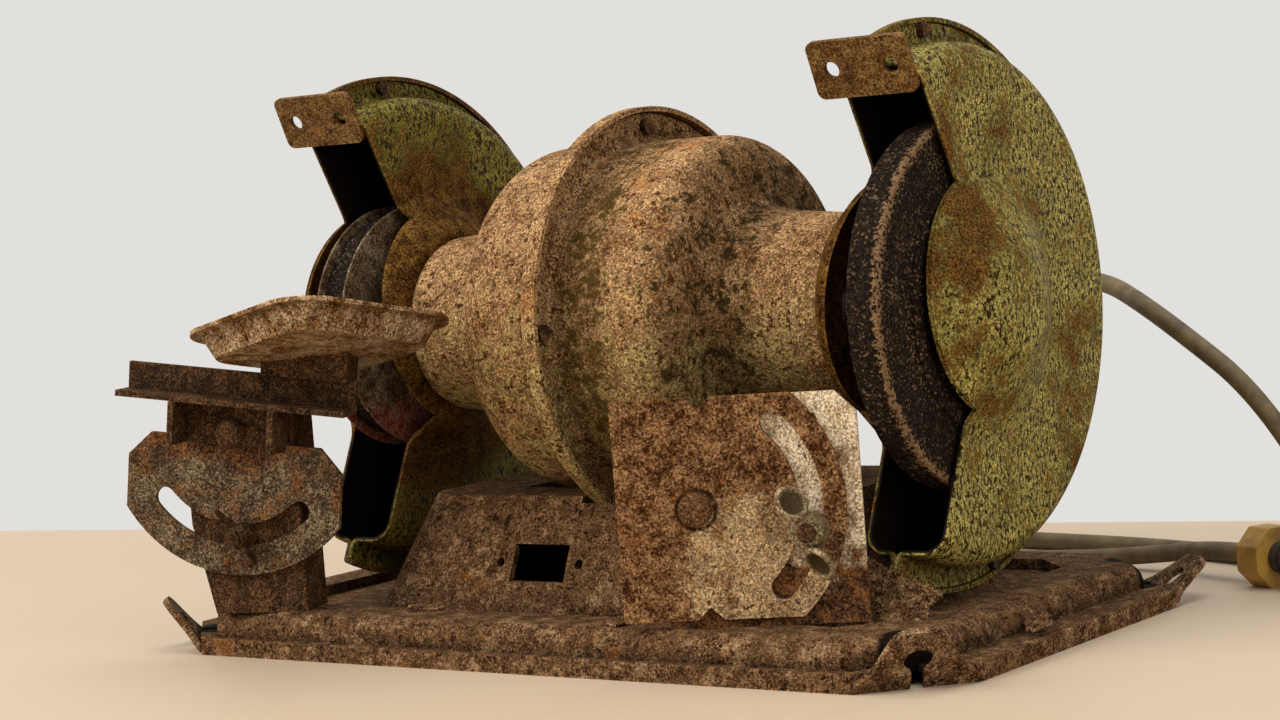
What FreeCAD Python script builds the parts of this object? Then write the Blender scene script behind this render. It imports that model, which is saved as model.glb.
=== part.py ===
# Old bench grinder with pressed steel shells, two open wheel guards and two tool rests.
# Millimetres. X runs along the motor axis to the right, Y to the back, Z up.
# The origin lies under the middle of the pedestal, on the surface that the base pan stands on.
import FreeCAD, Part
import math
import os

# General
GUARD_R = 89.0            # outside of a guard's drum
RIM_W = 9.0               # how far the bolted rim stands out past the drum
RIM_R = GUARD_R + RIM_W
GUARD_FLOOR_GAP = 17.0    # from the bench to the lowest point of a rim
AXIS_Z = RIM_R + GUARD_FLOOR_GAP      # height of the motor axis over the bench
CUT_REACH = 300.0         # longer than the part, for cuts that go right through
FIT = 0.05                # radial clearance of a running fit
GAP = 0.35                # clearance between pieces that move past each other
SEAT = 0.02               # clearance of a seated piece in its pocket
SCREW_HEAD_H = 2.6
SCREW_TAIL = 4.0          # how far a screw stands out past its nut side
BEND = 2.5                # outside radius of a bent sheet edge
SHEET = 1.8               # sheet of the motor shells

# Base pan
PAN_X = 175.0             # half length of the flange
PAN_MID = -12.0           # middle of the pan; it reaches further out under the left rest
PAN_Y = 97.0              # half depth of the flange
PAN_CORNER = 30.0         # leg of the cut corners
PAN_SHEET = 2.0
BAND_H = 6.5              # height of the turned-down edge
BEAD_INSET_X = 13.0       # ledge outside the bead at the ends
BEAD_INSET_Y = 4.0        # ledge outside the bead at the front and back
BEAD_CORNER = 22.0
BEAD_W = 23.0
BEAD_TOP = 16.0
FLOOR_TOP = 12.0
BEAD_ROUND = 7.0
LUG_H = 23.0              # lug at each cut corner, along its slope
LUG_HALF_TOP = 7.5
LUG_HOLE_R = 5.0
LUG_HOLE_UP = 11.0
LUG_LEANS = (32.0, 55.0, 40.0, 36.0)   # outwards, from front right round by the back
LUG_SLIT = 4.4
LUG_SHEET = 2.4

# Pedestal
PED_FOOT_X = 110.0
PED_FOOT_Y = 63.0
PED_TOP_X = 88.0
PED_TOP_Y = 43.0
PED_FOOT_ROUND = 24.0
PED_TOP_ROUND = 14.0
SWITCH_X = -25.4          # middle of the switch cut-out
SWITCH_Z = 31.0
SWITCH_W = 25.0
SWITCH_H = 13.0
SWITCH_SCREW_R = 1.7
SWITCH_SCREW_X = 18.0     # from the middle of the cut-out to each screw hole

# Motor shells
SHELL_R = 64.0
SADDLE_DEPTH = 3.0        # how deep the motor lies in the pedestal's top
PED_TOP = AXIS_Z - SHELL_R + SADDLE_DEPTH
SHOULDER_LEFT = -50.0
SHOULDER_RIGHT = 44.5
SHOULDER_ROUND = 14.0
NECK_R_ROOT = 37.0
NECK_R_END = 33.0
NECK_ROUND = 9.0
LIP_H = 12.8
LIP_R = SHELL_R + LIP_H
LIP_W = 7.0               # lip of the left shell, ending at x = 0
FLANGE_SCREW_R = SHELL_R + 5.6     # circle of the flange screws
FLANGE_SCREWS = 4
FLANGE_SCREW_D = 4.0
FLANGE_HEAD_R = 3.0

# Guards
GUARD_LEFT_X = -127.0     # middle of the left guard
GUARD_RIGHT_X = 120.0     # middle of the right guard
GUARD_SHEET = 1.6
GUARD_TO_LEFT = 16.0      # from the middle to the left face
GUARD_TO_RIGHT = 15.0     # from the middle to the right face
GUARD_JOINT = -3.4        # plane where the two halves meet, from the middle
GUARD_ROUND = 8.0
RIM_LIP = 3.2             # how far the left half's lip covers the right half's flange
DOME_H = 15.0
DOME_FOOT_R = 45.0
DOME_TOP_R = 15.0
DOME_ROUND = 22.0
MOUTH_TOP_DEG = 112.0     # where the open front begins, counted from the back over the top
MOUTH_LOW_DEG = 244.0
MOUTH_INNER_R = GUARD_R - RIM_W    # where the straight edges of the mouth start
MOUTH_UPPER = (-14.0, 42.0)
MOUTH_NOSE = (-39.5, 3.0)
MOUTH_LOWER = (-17.0, -34.0)
RIM_SCREW_DEGS = (92.0, 40.0, -20.0, -78.0)
RIM_SCREW_D = 4.0
RIM_HEAD_R = 2.5
NECK_SCREWS = 3
NECK_SCREW_R = 27.0       # circle of the screws that hold a guard on its neck
NECK_SCREW_D = 5.0
NECK_HEAD_R = 4.2

# Eye-shield tabs
TAB_OUT_R = RIM_R + 1.5
TAB_L = 20.5
TAB_IN_R = TAB_OUT_R - TAB_L
TAB_W = 39.0
TAB_OFFSET = -6.0         # middle of the tab from the middle of the guard
TAB_SHEET = 2.0
TAB_HOLE_R = 2.9
TAB_HOLE_SPACING = 23.0
TAB_ROUND = 3.0

# Spindle, bearings and motor core
SPINDLE_R = 9.0
SPINDLE_THREAD_R = 6.35
BEARING_OUT_R = 17.5
BEARING_IN_R = 7.5
BEARING_W = 11.0
HOUSING_W = 15.0
STATOR_W = 50.0
STATOR_IN_R = 36.0
STATOR_SLOT_R = 4.5       # winding slot of the stator
COIL_LENGTH = 13.0
ROTOR_GAP = 0.5

# Wheels
WHEEL_R = 63.5
WHEEL_W = 12.4
WHEEL_WORN_R = 44.0       # left wheel, ground away
WHEEL_IN = 119.1          # inner face of each wheel, from the middle of the motor
WHEEL_STEP_R = 40.0
WHEEL_STEP_H = 1.2
CUP_R = 22.0              # wheel flange
CUP_W = 4.5
BLOTTER_W = 0.8
BLOTTER_R = 47.0
NUT_AF = 19.0
NUT_W = 8.0
SPINDLE_SPARE = 2.0       # thread showing past the nut

# Rest plates, shared by both sides
REST_SHEET = 2.2
ARC_R = 50.0              # outer arc about the pivot
SLOT_R = 38.5
SLOT_W = 8.0
SLOT_HALF_DEG = 45.0
CLAMP_D = 6.0             # clamp bolt
CLAMP_HEAD_R = 6.0
CLAMP_HEAD_H = 2.5
PIVOT_D = 7.0
PIVOT_HEAD_R = 5.6
PIVOT_HEAD_H = 4.0
WING_HUB_R = 5.2
WING_HUB_H = 9.0
WING_SPAN = 13.0          # from the bolt's axis to a wing's tip
WING_H = 13.0
WING_T = 2.6

# Right rest
RIGHT_PIVOT = (67.5, -81.6, 56.0)
RIGHT_YAW = 25.0
RIGHT_HALF_H = 37.0
RIGHT_TO_LEFT = 27.0      # from the pivot to the plate's straight left edge
RIGHT_CLAMP_DEG = -12.5
NOTCH_S = 2.5
NOTCH_W = 9.0
NOTCH_D = 4.3
POST_S0 = -12.0
POST_S1 = 55.0
POST_TOP = 36.5           # above the pivot
POST_CUT = 7.0
POST_HOLE_S = 39.0
POST_HOLE_Z = 27.0
POST_HOLE_R = 3.0
FOOT_D = 13.0
FOOT_S1 = 16.0
FOOT_BOLT_R = 2.5
FOOT_HEAD_R = 4.6
FOOT_HEAD_H = 3.5
FOOT_TAIL = 4.0           # how far a foot bolt stands out under the pan

# Left rest
LEFT_PIVOT = (-133.0, -92.0, 84.0)
LEFT_YAW = 20.0
LEFT_TILT = -8.0          # the plate leans down to the right
LEFT_HALF_W = 43.0
LEFT_ARC_R = 53.5         # outer arc of the left plate
LEFT_PLATE_TOP = -3.0     # top edge of the plate from its pivot
LEFT_CHAMFER = 9.0
TONGUE_HALF_W = 17.0
TONGUE_TOP = 9.0
LEFT_POST_HALF_W = 22.0
LEFT_POST_TOP = 8.0
LEFT_POST_WAIST = 34.0    # height where the post narrows to its foot
LEFT_FOOT_S0 = -15.0
LEFT_POST_FLANGE = 16.0
RISER_HALF_W = 21.0
RISER_LOW = -5.0
RISER_TOP = 11.0
RISER_FLANGE = 14.0
BAR_S0 = -43.0
BAR_S1 = 48.0
BAR_H = 12.0
BAR_DEPTH = 13.0
TRAY_W = 79.0
TRAY_D = 75.0
TRAY_YAW = -10.0
TRAY_H = 10.0
TRAY_SHEET = 1.5
TRAY_ROUND = 14.0
TRAY_DRAFT = 5.0          # how far the walls lean in from rim to floor
TRAY_RIM = 3.0
TRAY_ROLL = 11.0          # right side up
TRAY_PITCH = 12.0         # front up
TRAY_S = 40.0             # middle of the tray's rim from the pivot, along the plate
TRAY_DEPTH_AT = 8.5
TRAY_UP = 37.5            # height of the rim's middle over the pivot
LEAF_S0 = 12.0
LEAF_S1 = 46.0

# Mains cord
CORD_D = 7.0
GLAND_X = 20.0
GLAND_FLANGE_R = 8.0
GLAND_R = 5.6
GLAND_L = 20.0
COLLAR_R = 11.0
COLLAR_L = 11.0
PLUG_R = 5.8
PLUG_L = 30.0
PLUG_RIBS = 6
PLUG_RIB = 0.7
BLADE_R = 2.0
BLADE_L = 19.0
BLADE_HALF_PITCH = 3.2


def vec(x, y, z):
    return FreeCAD.Vector(x, y, z)


X_DIR = vec(1, 0, 0)
Z_DIR = vec(0, 0, 1)
AXIS_POINT = vec(0, 0, AXIS_Z)


def corner(before, here, after, radius):
    """Tangent points and middle of the arc that rounds one corner of a flat path."""
    a = (before - here).normalize()
    b = (after - here).normalize()
    half = a.getAngle(b) / 2.0
    reach = radius / math.tan(half)
    middle = (a + b).normalize() * (radius / math.sin(half) - radius)
    return here + a * reach, here + middle, here + b * reach


def path_edges(points, closed):
    """Edges of a path of (vector, radius) corners: straight runs joined by tangent arcs."""
    count = len(points)
    stops = []
    for i, (here, radius) in enumerate(points):
        inner = closed or 0 < i < count - 1
        if inner and radius > 0:
            before = points[i - 1][0]
            after = points[(i + 1) % count][0]
            stops.append(corner(before, here, after, radius))
        else:
            stops.append((here, None, here))
    edges = []
    for i, (start, middle, end) in enumerate(stops):
        if middle is not None:
            edges.append(Part.Arc(start, middle, end).toShape())
        if i < count - 1 or closed:
            following = stops[(i + 1) % count][0]
            if (following - end).Length > 1e-6:
                edges.append(Part.LineSegment(end, following).toShape())
    return edges


def flat_face(points):
    """Face in the local XY plane from (x, y, radius) corners."""
    corners = [(vec(x, y, 0), r) for x, y, r in points]
    return Part.Face(Part.Wire(path_edges(corners, True)))


def prism(points, z0, z1):
    face = flat_face(points)
    face.translate(vec(0, 0, z0))
    return face.extrude(vec(0, 0, z1 - z0))


def round_rect(half_x, half_y, radius):
    return [(-half_x, -half_y, radius), (half_x, -half_y, radius),
            (half_x, half_y, radius), (-half_x, half_y, radius)]


def cut_rect(half_x, half_y, leg, radius=0.0):
    """Rectangle with its corners cut at 45 degrees."""
    x0, y0 = half_x - leg, half_y - leg
    ring = [(-x0, -half_y), (x0, -half_y), (half_x, -y0), (half_x, y0),
            (x0, half_y), (-x0, half_y), (-half_x, y0), (-half_x, -y0)]
    return [(x, y, radius) for x, y in ring]


def cylinder_x(radius, x0, x1):
    return Part.makeCylinder(radius, x1 - x0, vec(x0, 0, AXIS_Z), X_DIR)


def ring_x(outer, inner, x0, x1):
    return cylinder_x(outer, x0, x1).cut(cylinder_x(inner, x0 - 1, x1 + 1))


def offset_path(points, distance):
    """Path moved sideways by a distance, to the left of its own direction."""
    flat = [vec(x, r, 0) for x, r, _ in points]
    normals = []
    for a, b in zip(flat, flat[1:]):
        along = (b - a).normalize()
        normals.append(vec(-along.y, along.x, 0))
    moved = []
    for i, here in enumerate(flat):
        before = normals[max(i - 1, 0)]
        after = normals[min(i, len(normals) - 1)]
        mitre = (before + after).normalize()
        shift = mitre * (distance / mitre.dot(after))
        turn = before.cross(after).z
        radius = points[i][2]
        if radius > 0:
            side = 1.0 if turn > 0 else -1.0
            radius = max(radius - side * distance, 0.3)
        moved.append((here.x + shift.x, here.y + shift.y, radius))
    return moved


def sheet_revolve(points, thickness):
    """Pressed sheet turned about the motor axis. The points are its (x, r, radius) outside."""
    inside = offset_path(points, thickness)
    edges = path_edges([(vec(x, 0, AXIS_Z + r), q) for x, r, q in points], False)
    back = path_edges([(vec(x, 0, AXIS_Z + r), q) for x, r, q in reversed(inside)], False)
    ends = [Part.LineSegment(edges[-1].Vertexes[-1].Point, back[0].Vertexes[0].Point).toShape(),
            Part.LineSegment(back[-1].Vertexes[-1].Point, edges[0].Vertexes[0].Point).toShape()]
    wire = Part.Wire(edges + ends[:1] + back + ends[1:])
    return Part.Face(wire).revolve(AXIS_POINT, X_DIR, 360)


def polar(radius, degrees):
    """Point (y, z) about the motor axis; 0 is the back, 90 the top, 180 the front."""
    angle = math.radians(degrees)
    return radius * math.cos(angle), radius * math.sin(angle)


def along_x(radius, y, z, x0, x1):
    return Part.makeCylinder(radius, x1 - x0, vec(x0, y, AXIS_Z + z), X_DIR)


def save(name, shape):
    if shape.ShapeType == "Compound" and len(shape.Solids) == 1:
        shape = shape.Solids[0]
    shape.exportStep("parts/" + name + ".step")


# Base pan and pedestal
def pedestal(inset, top):
    """Tapered hump from the pan's floor to its top, with rounded corners."""
    low = flat_face(round_rect(PED_FOOT_X - inset, PED_FOOT_Y - inset, PED_FOOT_ROUND - inset))
    low.translate(vec(0, 0, FLOOR_TOP - PAN_SHEET))
    high = flat_face(round_rect(PED_TOP_X - inset, PED_TOP_Y - inset, PED_TOP_ROUND - inset))
    high.translate(vec(0, 0, top))
    return Part.makeLoft([low.OuterWire, high.OuterWire], True, True)


def saddle(extra):
    """Room for the motor's shells in the top of the pedestal."""
    body = cylinder_x(SHELL_R + GAP + extra, SHOULDER_LEFT - 6 - extra, SHOULDER_RIGHT + 6 + extra)
    tail = LIP_W + SCREW_TAIL + GAP + extra
    lip = cylinder_x(LIP_R + GAP + extra, -tail, SCREW_HEAD_H + GAP + extra)
    return body.fuse(lip)


def to_corner(shape, turn):
    """Moves a piece drawn at the front right corner to one of the four corners."""
    middle = PAN_CORNER / 2
    shape.rotate(vec(0, 0, 0), Z_DIR, 45)
    shape.translate(vec(PAN_X - middle, -PAN_Y + middle, 0))
    if turn in (1, 2):
        shape = shape.mirror(vec(0, 0, 0), vec(0, 1, 0))
    if turn in (2, 3):
        shape = shape.mirror(vec(0, 0, 0), X_DIR)
    shape.translate(vec(PAN_MID, 0, 0))
    return shape


def corner_lug(turn):
    """Lug on one cut corner, bent outwards, with a keyhole that is open at the bottom."""
    half = PAN_CORNER / math.sqrt(2)
    knee = (half + LUG_HALF_TOP) / 2
    outline = [(-half, 0, 0), (half, 0, 0), (half - 1, BAND_H / 2, 0), (knee, BAND_H + 2, 5),
               (LUG_HALF_TOP, LUG_H, 7), (-LUG_HALF_TOP, LUG_H, 7), (-knee, BAND_H + 2, 5),
               (1 - half, BAND_H / 2, 0)]
    plate = prism(outline, -LUG_SHEET, 0)
    hole = Part.makeCylinder(LUG_HOLE_R, 4 * LUG_SHEET, vec(0, LUG_HOLE_UP, -2 * LUG_SHEET))
    slit = Part.makeBox(LUG_SLIT, LUG_HOLE_UP + 1, 4 * LUG_SHEET,
                        vec(-LUG_SLIT / 2, -1, -2 * LUG_SHEET))
    plate = plate.cut(hole).cut(slit)
    plate.rotate(vec(0, 0, 0), X_DIR, 90 + LUG_LEANS[turn])
    return to_corner(plate, turn)


def keyhole_clearance(turn):
    """Slit through the band behind a lug's keyhole."""
    deep = PAN_CORNER * 0.2
    slit = Part.makeBox(LUG_SLIT, deep + 1, BAND_H + 2, vec(-LUG_SLIT / 2, -1, -1))
    return to_corner(slit, turn)


def pedestal_front(z):
    """Y of the pedestal's front face at a height."""
    share = (z - FLOOR_TOP + PAN_SHEET) / (PED_TOP - FLOOR_TOP + PAN_SHEET)
    return -PED_FOOT_Y + share * (PED_FOOT_Y - PED_TOP_Y)


def base_pan():
    t = PAN_SHEET
    bead_x, bead_y = PAN_X - BEAD_INSET_X, PAN_Y - BEAD_INSET_Y
    flange = prism(cut_rect(PAN_X, PAN_Y, PAN_CORNER), 0, BAND_H)
    bead = prism(cut_rect(bead_x, bead_y, BEAD_CORNER), 0, BEAD_TOP)
    crest = [e for e in bead.Edges if min(v.Z for v in e.Vertexes) > BEAD_TOP - 0.01]
    bead = bead.makeFillet(BEAD_ROUND, crest)
    dip = prism(cut_rect(bead_x - BEAD_W, bead_y - BEAD_W, BEAD_CORNER - 6), FLOOR_TOP, BEAD_TOP + 1)
    under = prism(cut_rect(PAN_X - t, PAN_Y - t, PAN_CORNER - t), -1, BAND_H - t)
    hollow = prism(cut_rect(bead_x - t, bead_y - t, BEAD_CORNER - t / 2), -1, FLOOR_TOP - t)
    for piece in (flange, bead, dip, under, hollow):
        piece.translate(vec(PAN_MID, 0, 0))
    hump = pedestal(0, PED_TOP).cut(saddle(0))
    room = pedestal(t * 1.12, PED_TOP - t).cut(saddle(t))
    room.translate(vec(0, 0, -0.01))
    pan = flange.fuse(bead).cut(dip).fuse(hump)
    pan = pan.cut(under).cut(hollow).cut(room)
    for turn in range(4):
        pan = pan.cut(keyhole_clearance(turn)).fuse(corner_lug(turn))
    front = pedestal_front(SWITCH_Z)
    pan = pan.cut(Part.makeBox(SWITCH_W, 30, SWITCH_H,
                               vec(SWITCH_X - SWITCH_W / 2, front - 15, SWITCH_Z - SWITCH_H / 2)))
    for side in (-1, 1):
        pan = pan.cut(Part.makeCylinder(SWITCH_SCREW_R, 30,
                                        vec(SWITCH_X + side * SWITCH_SCREW_X, front - 15, SWITCH_Z),
                                        vec(0, 1, 0)))
    return pan.removeSplitter()


# Motor shells, their screws and what they hold
NECK_END_RIGHT = GUARD_RIGHT_X - GUARD_TO_LEFT - DOME_H
NECK_END_LEFT = GUARD_LEFT_X + GUARD_TO_RIGHT + DOME_H
FLANGE_FACE = -LIP_W + SHEET          # plane where the two shells meet
NECK_BORE_R = 21.0


def motor_shell_left():
    path = [(NECK_END_LEFT, NECK_BORE_R, 0), (NECK_END_LEFT, NECK_R_END, BEND),
            (SHOULDER_LEFT, NECK_R_ROOT, NECK_ROUND), (SHOULDER_LEFT, SHELL_R, SHOULDER_ROUND),
            (-LIP_W, SHELL_R, BEND), (-LIP_W, LIP_R, BEND), (0, LIP_R, 0)]
    return sheet_revolve(path, -SHEET)


def motor_shell_right():
    path = [(NECK_END_RIGHT, NECK_BORE_R, 0), (NECK_END_RIGHT, NECK_R_END, BEND),
            (SHOULDER_RIGHT, NECK_R_ROOT, NECK_ROUND), (SHOULDER_RIGHT, SHELL_R, SHOULDER_ROUND),
            (FLANGE_FACE + SHEET, SHELL_R, BEND), (FLANGE_FACE + SHEET, LIP_R - SHEET - 2 * GAP, 0)]
    return sheet_revolve(path, SHEET)


def screw_x(radius, head_radius, y, z, under_head, tip, head_side):
    """Pan-head screw along X; the head lies on the side given, outside its seat."""
    low, high = min(under_head, tip), max(under_head, tip)
    shank = along_x(radius, y, z, low, high)
    if head_side > 0:
        head = along_x(head_radius, y, z, under_head, under_head + SCREW_HEAD_H)
    else:
        head = along_x(head_radius, y, z, under_head - SCREW_HEAD_H, under_head)
    return shank.fuse(head)


def flange_screw_places():
    step = 360.0 / FLANGE_SCREWS
    return [polar(FLANGE_SCREW_R, 90 + step * i) for i in range(FLANGE_SCREWS)]


def shell_screws():
    screws = []
    for y, z in flange_screw_places():
        screws.append(screw_x(FLANGE_SCREW_D / 2, FLANGE_HEAD_R, y, z,
                              FLANGE_FACE + SHEET, -LIP_W - SCREW_TAIL, 1))
    return Part.makeCompound(screws)


def drill_x(shape, places, radius):
    for y, z in places:
        shape = shape.cut(along_x(radius, y, z, -CUT_REACH, CUT_REACH))
    return shape


HOUSING_R = NECK_R_END - SHEET - SEAT
BEARING_RIGHT = NECK_END_RIGHT - SHEET - HOUSING_W     # inner face of the right housing
BEARING_LEFT = NECK_END_LEFT + SHEET


def neck_screw_places():
    step = 360.0 / NECK_SCREWS
    return [polar(NECK_SCREW_R, 90 + step * i) for i in range(NECK_SCREWS)]


def bearing_housing(x0):
    housing = cylinder_x(HOUSING_R, x0, x0 + HOUSING_W)
    rounds = [e for e in housing.Edges if e.isClosed() and e.Length > 10]
    housing = housing.makeChamfer(BEND - SHEET + 0.6, rounds)
    housing = housing.cut(cylinder_x(BEARING_OUT_R + SEAT, x0 - 1, x0 + HOUSING_W + 1))
    return drill_x(housing, neck_screw_places(), NECK_SCREW_D / 2 + SEAT)


def ball_bearing(x0):
    """Sealed ball bearing: outer race, shielded middle and inner race in one."""
    start = x0 + (HOUSING_W - BEARING_W) / 2
    whole = ring_x(BEARING_OUT_R, BEARING_IN_R + FIT, start, start + BEARING_W)
    for face in (start - 1, start + BEARING_W - 0.8):
        whole = whole.cut(ring_x(BEARING_OUT_R - 3, BEARING_IN_R + 3.2, face, face + 1.8))
    return whole


def stator_core():
    core = ring_x(SHELL_R - SHEET - SEAT, STATOR_IN_R, -STATOR_W / 2 - LIP_W, STATOR_W / 2 - LIP_W)
    for i in range(12):
        y, z = polar(STATOR_IN_R + 2 * STATOR_SLOT_R, 30 * i)
        core = core.cut(along_x(STATOR_SLOT_R, y, z, -CUT_REACH, CUT_REACH))
    return core


def stator_coils():
    middle = (SHELL_R + STATOR_IN_R) / 2 - 4
    rings = []
    for x in (-STATOR_W / 2 - LIP_W - COIL_LENGTH, STATOR_W / 2 - LIP_W):
        rings.append(ring_x(middle + 8, STATOR_IN_R + 2, x, x + COIL_LENGTH))
    return Part.makeCompound(rings)


MOUNT_BOLT_X = 30.0
MOUNT_BOLT_DEG = 9.0
MOUNT_BOLT_R = 3.0


def mount_bolt_tools(radius, head, extra):
    """Four bolts that point at the motor axis from below the saddle."""
    bolts = []
    seat = SHELL_R + GAP + PAN_SHEET
    for x in (-MOUNT_BOLT_X - LIP_W, MOUNT_BOLT_X - LIP_W):
        for side in (-1, 1):
            angle = math.radians(270 + side * MOUNT_BOLT_DEG)
            out = vec(0, math.cos(angle), math.sin(angle))
            start = vec(x, 0, AXIS_Z) + out * (SHELL_R - SHEET)
            bolt = Part.makeCylinder(radius, seat - SHELL_R + SHEET + extra, start, out)
            if head > 0:
                under = vec(x, 0, AXIS_Z) + out * seat
                bolt = bolt.fuse(Part.makeCylinder(head, 4.0, under, out))
            bolts.append(bolt)
    return Part.makeCompound(bolts)


# Guards: two pressed halves each, with an open mouth at the front
def mouth_tool(middle):
    """Prism that opens the front of a guard, along the pressed halves' front edge."""
    reach = RIM_R * 1.6
    top_out = polar(reach, MOUTH_TOP_DEG)
    top_in = polar(MOUTH_INNER_R, MOUTH_TOP_DEG)
    low_in = polar(MOUTH_INNER_R, MOUTH_LOW_DEG)
    low_out = polar(reach, MOUTH_LOW_DEG)

    def at(point):
        return vec(middle - CUT_REACH, point[0], AXIS_Z + point[1])

    edges = [Part.LineSegment(at(top_out), at(top_in)).toShape(),
             Part.LineSegment(at(top_in), at(MOUTH_UPPER)).toShape(),
             Part.Arc(at(MOUTH_UPPER), at(MOUTH_NOSE), at(MOUTH_LOWER)).toShape(),
             Part.LineSegment(at(MOUTH_LOWER), at(low_in)).toShape(),
             Part.LineSegment(at(low_in), at(low_out)).toShape(),
             Part.LineSegment(at(low_out), at((-2 * reach, low_out[1]))).toShape(),
             Part.LineSegment(at((-2 * reach, low_out[1])), at((-2 * reach, top_out[1]))).toShape(),
             Part.LineSegment(at((-2 * reach, top_out[1])), at(top_out)).toShape()]
    return Part.Face(Part.Wire(edges)).extrude(vec(2 * CUT_REACH, 0, 0))


def guard_half(middle, left_half, on_neck):
    """One half of a guard. The left half carries the lip that covers the right half's flange."""
    side = -1 if left_half else 1
    face = middle + (-GUARD_TO_LEFT if left_half else GUARD_TO_RIGHT)
    joint = middle + GUARD_JOINT
    crown = face + side * DOME_H
    if on_neck:
        path = [(crown, NECK_BORE_R, 0), (crown, NECK_R_END + 3, 4), (face, DOME_FOOT_R + 4, 9)]
    else:
        path = [(crown, 0, 0), (crown, DOME_TOP_R, DOME_ROUND), (face, DOME_FOOT_R, 12)]
    rim = RIM_R if left_half else RIM_R - GUARD_SHEET - GAP
    flange = joint + side * GUARD_SHEET
    path += [(face, GUARD_R, GUARD_ROUND), (flange, GUARD_R, 2), (flange, rim, 2 if left_half else 0)]
    if left_half:
        path.append((joint + RIM_LIP, rim, 0))
    half = sheet_revolve(path, side * GUARD_SHEET)
    half = half.cut(mouth_tool(middle))
    half = drill_x(half, rim_screw_places(), RIM_SCREW_D / 2 + SEAT)
    if on_neck:
        half = drill_x(half, neck_screw_places(), NECK_SCREW_D / 2 + SEAT)
    return half


def rim_screw_places():
    circle = (GUARD_R + 2 + RIM_R - GUARD_SHEET) / 2
    return [polar(circle, degrees) for degrees in RIM_SCREW_DEGS]


def rim_screws(middle):
    joint = middle + GUARD_JOINT
    screws = []
    for y, z in rim_screw_places():
        screws.append(screw_x(RIM_SCREW_D / 2, RIM_HEAD_R, y, z, joint + GUARD_SHEET,
                              joint - GUARD_SHEET - SCREW_TAIL, 1))
    return Part.makeCompound(screws)


def neck_screws(side):
    """Screws inside a guard that clamp it, the neck's end and the bearing housing together."""
    crown = NECK_END_RIGHT if side > 0 else NECK_END_LEFT
    seat = crown + side * GUARD_SHEET
    tip = crown - side * (SHEET + HOUSING_W)
    return Part.makeCompound([screw_x(NECK_SCREW_D / 2, NECK_HEAD_R, y, z, seat, tip, side)
                              for y, z in neck_screw_places()])


def shield_tab(middle):
    half = TAB_W / 2
    plate = prism([(-half, TAB_IN_R, TAB_ROUND), (half, TAB_IN_R, TAB_ROUND),
                   (half, TAB_OUT_R, TAB_ROUND), (-half, TAB_OUT_R, TAB_ROUND)], 0, TAB_SHEET)
    row = (TAB_IN_R + TAB_OUT_R) / 2
    for side in (-1, 1):
        plate = plate.cut(Part.makeCylinder(TAB_HOLE_R, 4 * TAB_SHEET,
                                            vec(side * TAB_HOLE_SPACING / 2, row, -TAB_SHEET)))
    up = polar(1.0, MOUTH_TOP_DEG)
    turn = FreeCAD.Rotation(X_DIR, vec(0, up[0], up[1]), vec(0, -up[1], up[0]), "XYZ")
    plate.Placement = FreeCAD.Placement(vec(middle + TAB_OFFSET, 0, AXIS_Z), turn)
    return plate


# Rotor: everything that turns with the spindle
BEARING_EDGE_RIGHT = BEARING_RIGHT + (HOUSING_W - BEARING_W) / 2
BEARING_EDGE_LEFT = BEARING_LEFT + (HOUSING_W + BEARING_W) / 2
CUP_SEAT = WHEEL_IN - BLOTTER_W - CUP_W          # shoulder that the inner wheel flange rests on
WHEEL_OUT = WHEEL_IN + WHEEL_W
NUT_SEAT = WHEEL_OUT + BLOTTER_W + CUP_W
SPINDLE_END = NUT_SEAT + NUT_W + SPINDLE_SPARE


def spindle():
    bar = cylinder_x(SPINDLE_R, BEARING_EDGE_LEFT + GAP, BEARING_EDGE_RIGHT - GAP)
    bar = bar.fuse(cylinder_x(BEARING_IN_R, -CUP_SEAT, CUP_SEAT))
    return bar.fuse(cylinder_x(SPINDLE_THREAD_R, -SPINDLE_END, SPINDLE_END)).removeSplitter()


def rotor_core():
    core = ring_x(STATOR_IN_R - ROTOR_GAP, SPINDLE_R + SEAT, -STATOR_W / 2 - LIP_W, STATOR_W / 2 - LIP_W)
    for end, x in ((-1, -STATOR_W / 2 - LIP_W), (1, STATOR_W / 2 - LIP_W)):
        low = min(x, x + end * 6)
        core = core.fuse(ring_x(STATOR_IN_R - ROTOR_GAP - 3, STATOR_IN_R - 12, low, low + 6))
    return core.removeSplitter()


def mirrored(shape, side):
    if side > 0:
        return shape
    return shape.mirror(vec(0, 0, 0), X_DIR)


def wheel(side, radius):
    body = cylinder_x(radius, WHEEL_IN, WHEEL_OUT)
    edges = [e for e in body.Edges if e.Closed and e.Curve.Radius > radius - 0.1]
    body = body.makeFillet(1.5, edges)
    if radius > WHEEL_STEP_R + 6:
        step = ring_x(WHEEL_STEP_R + 3, WHEEL_STEP_R - 4, WHEEL_OUT, WHEEL_OUT + WHEEL_STEP_H)
        rounds = [e for e in step.Edges if e.Closed and e.BoundBox.XMin > WHEEL_OUT + 0.1]
        body = body.fuse(step.makeFillet(WHEEL_STEP_H * 0.7, rounds))
    body = body.cut(cylinder_x(SPINDLE_THREAD_R + SEAT, WHEEL_IN - 1, WHEEL_OUT + 5))
    return mirrored(body.removeSplitter(), side)


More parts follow.
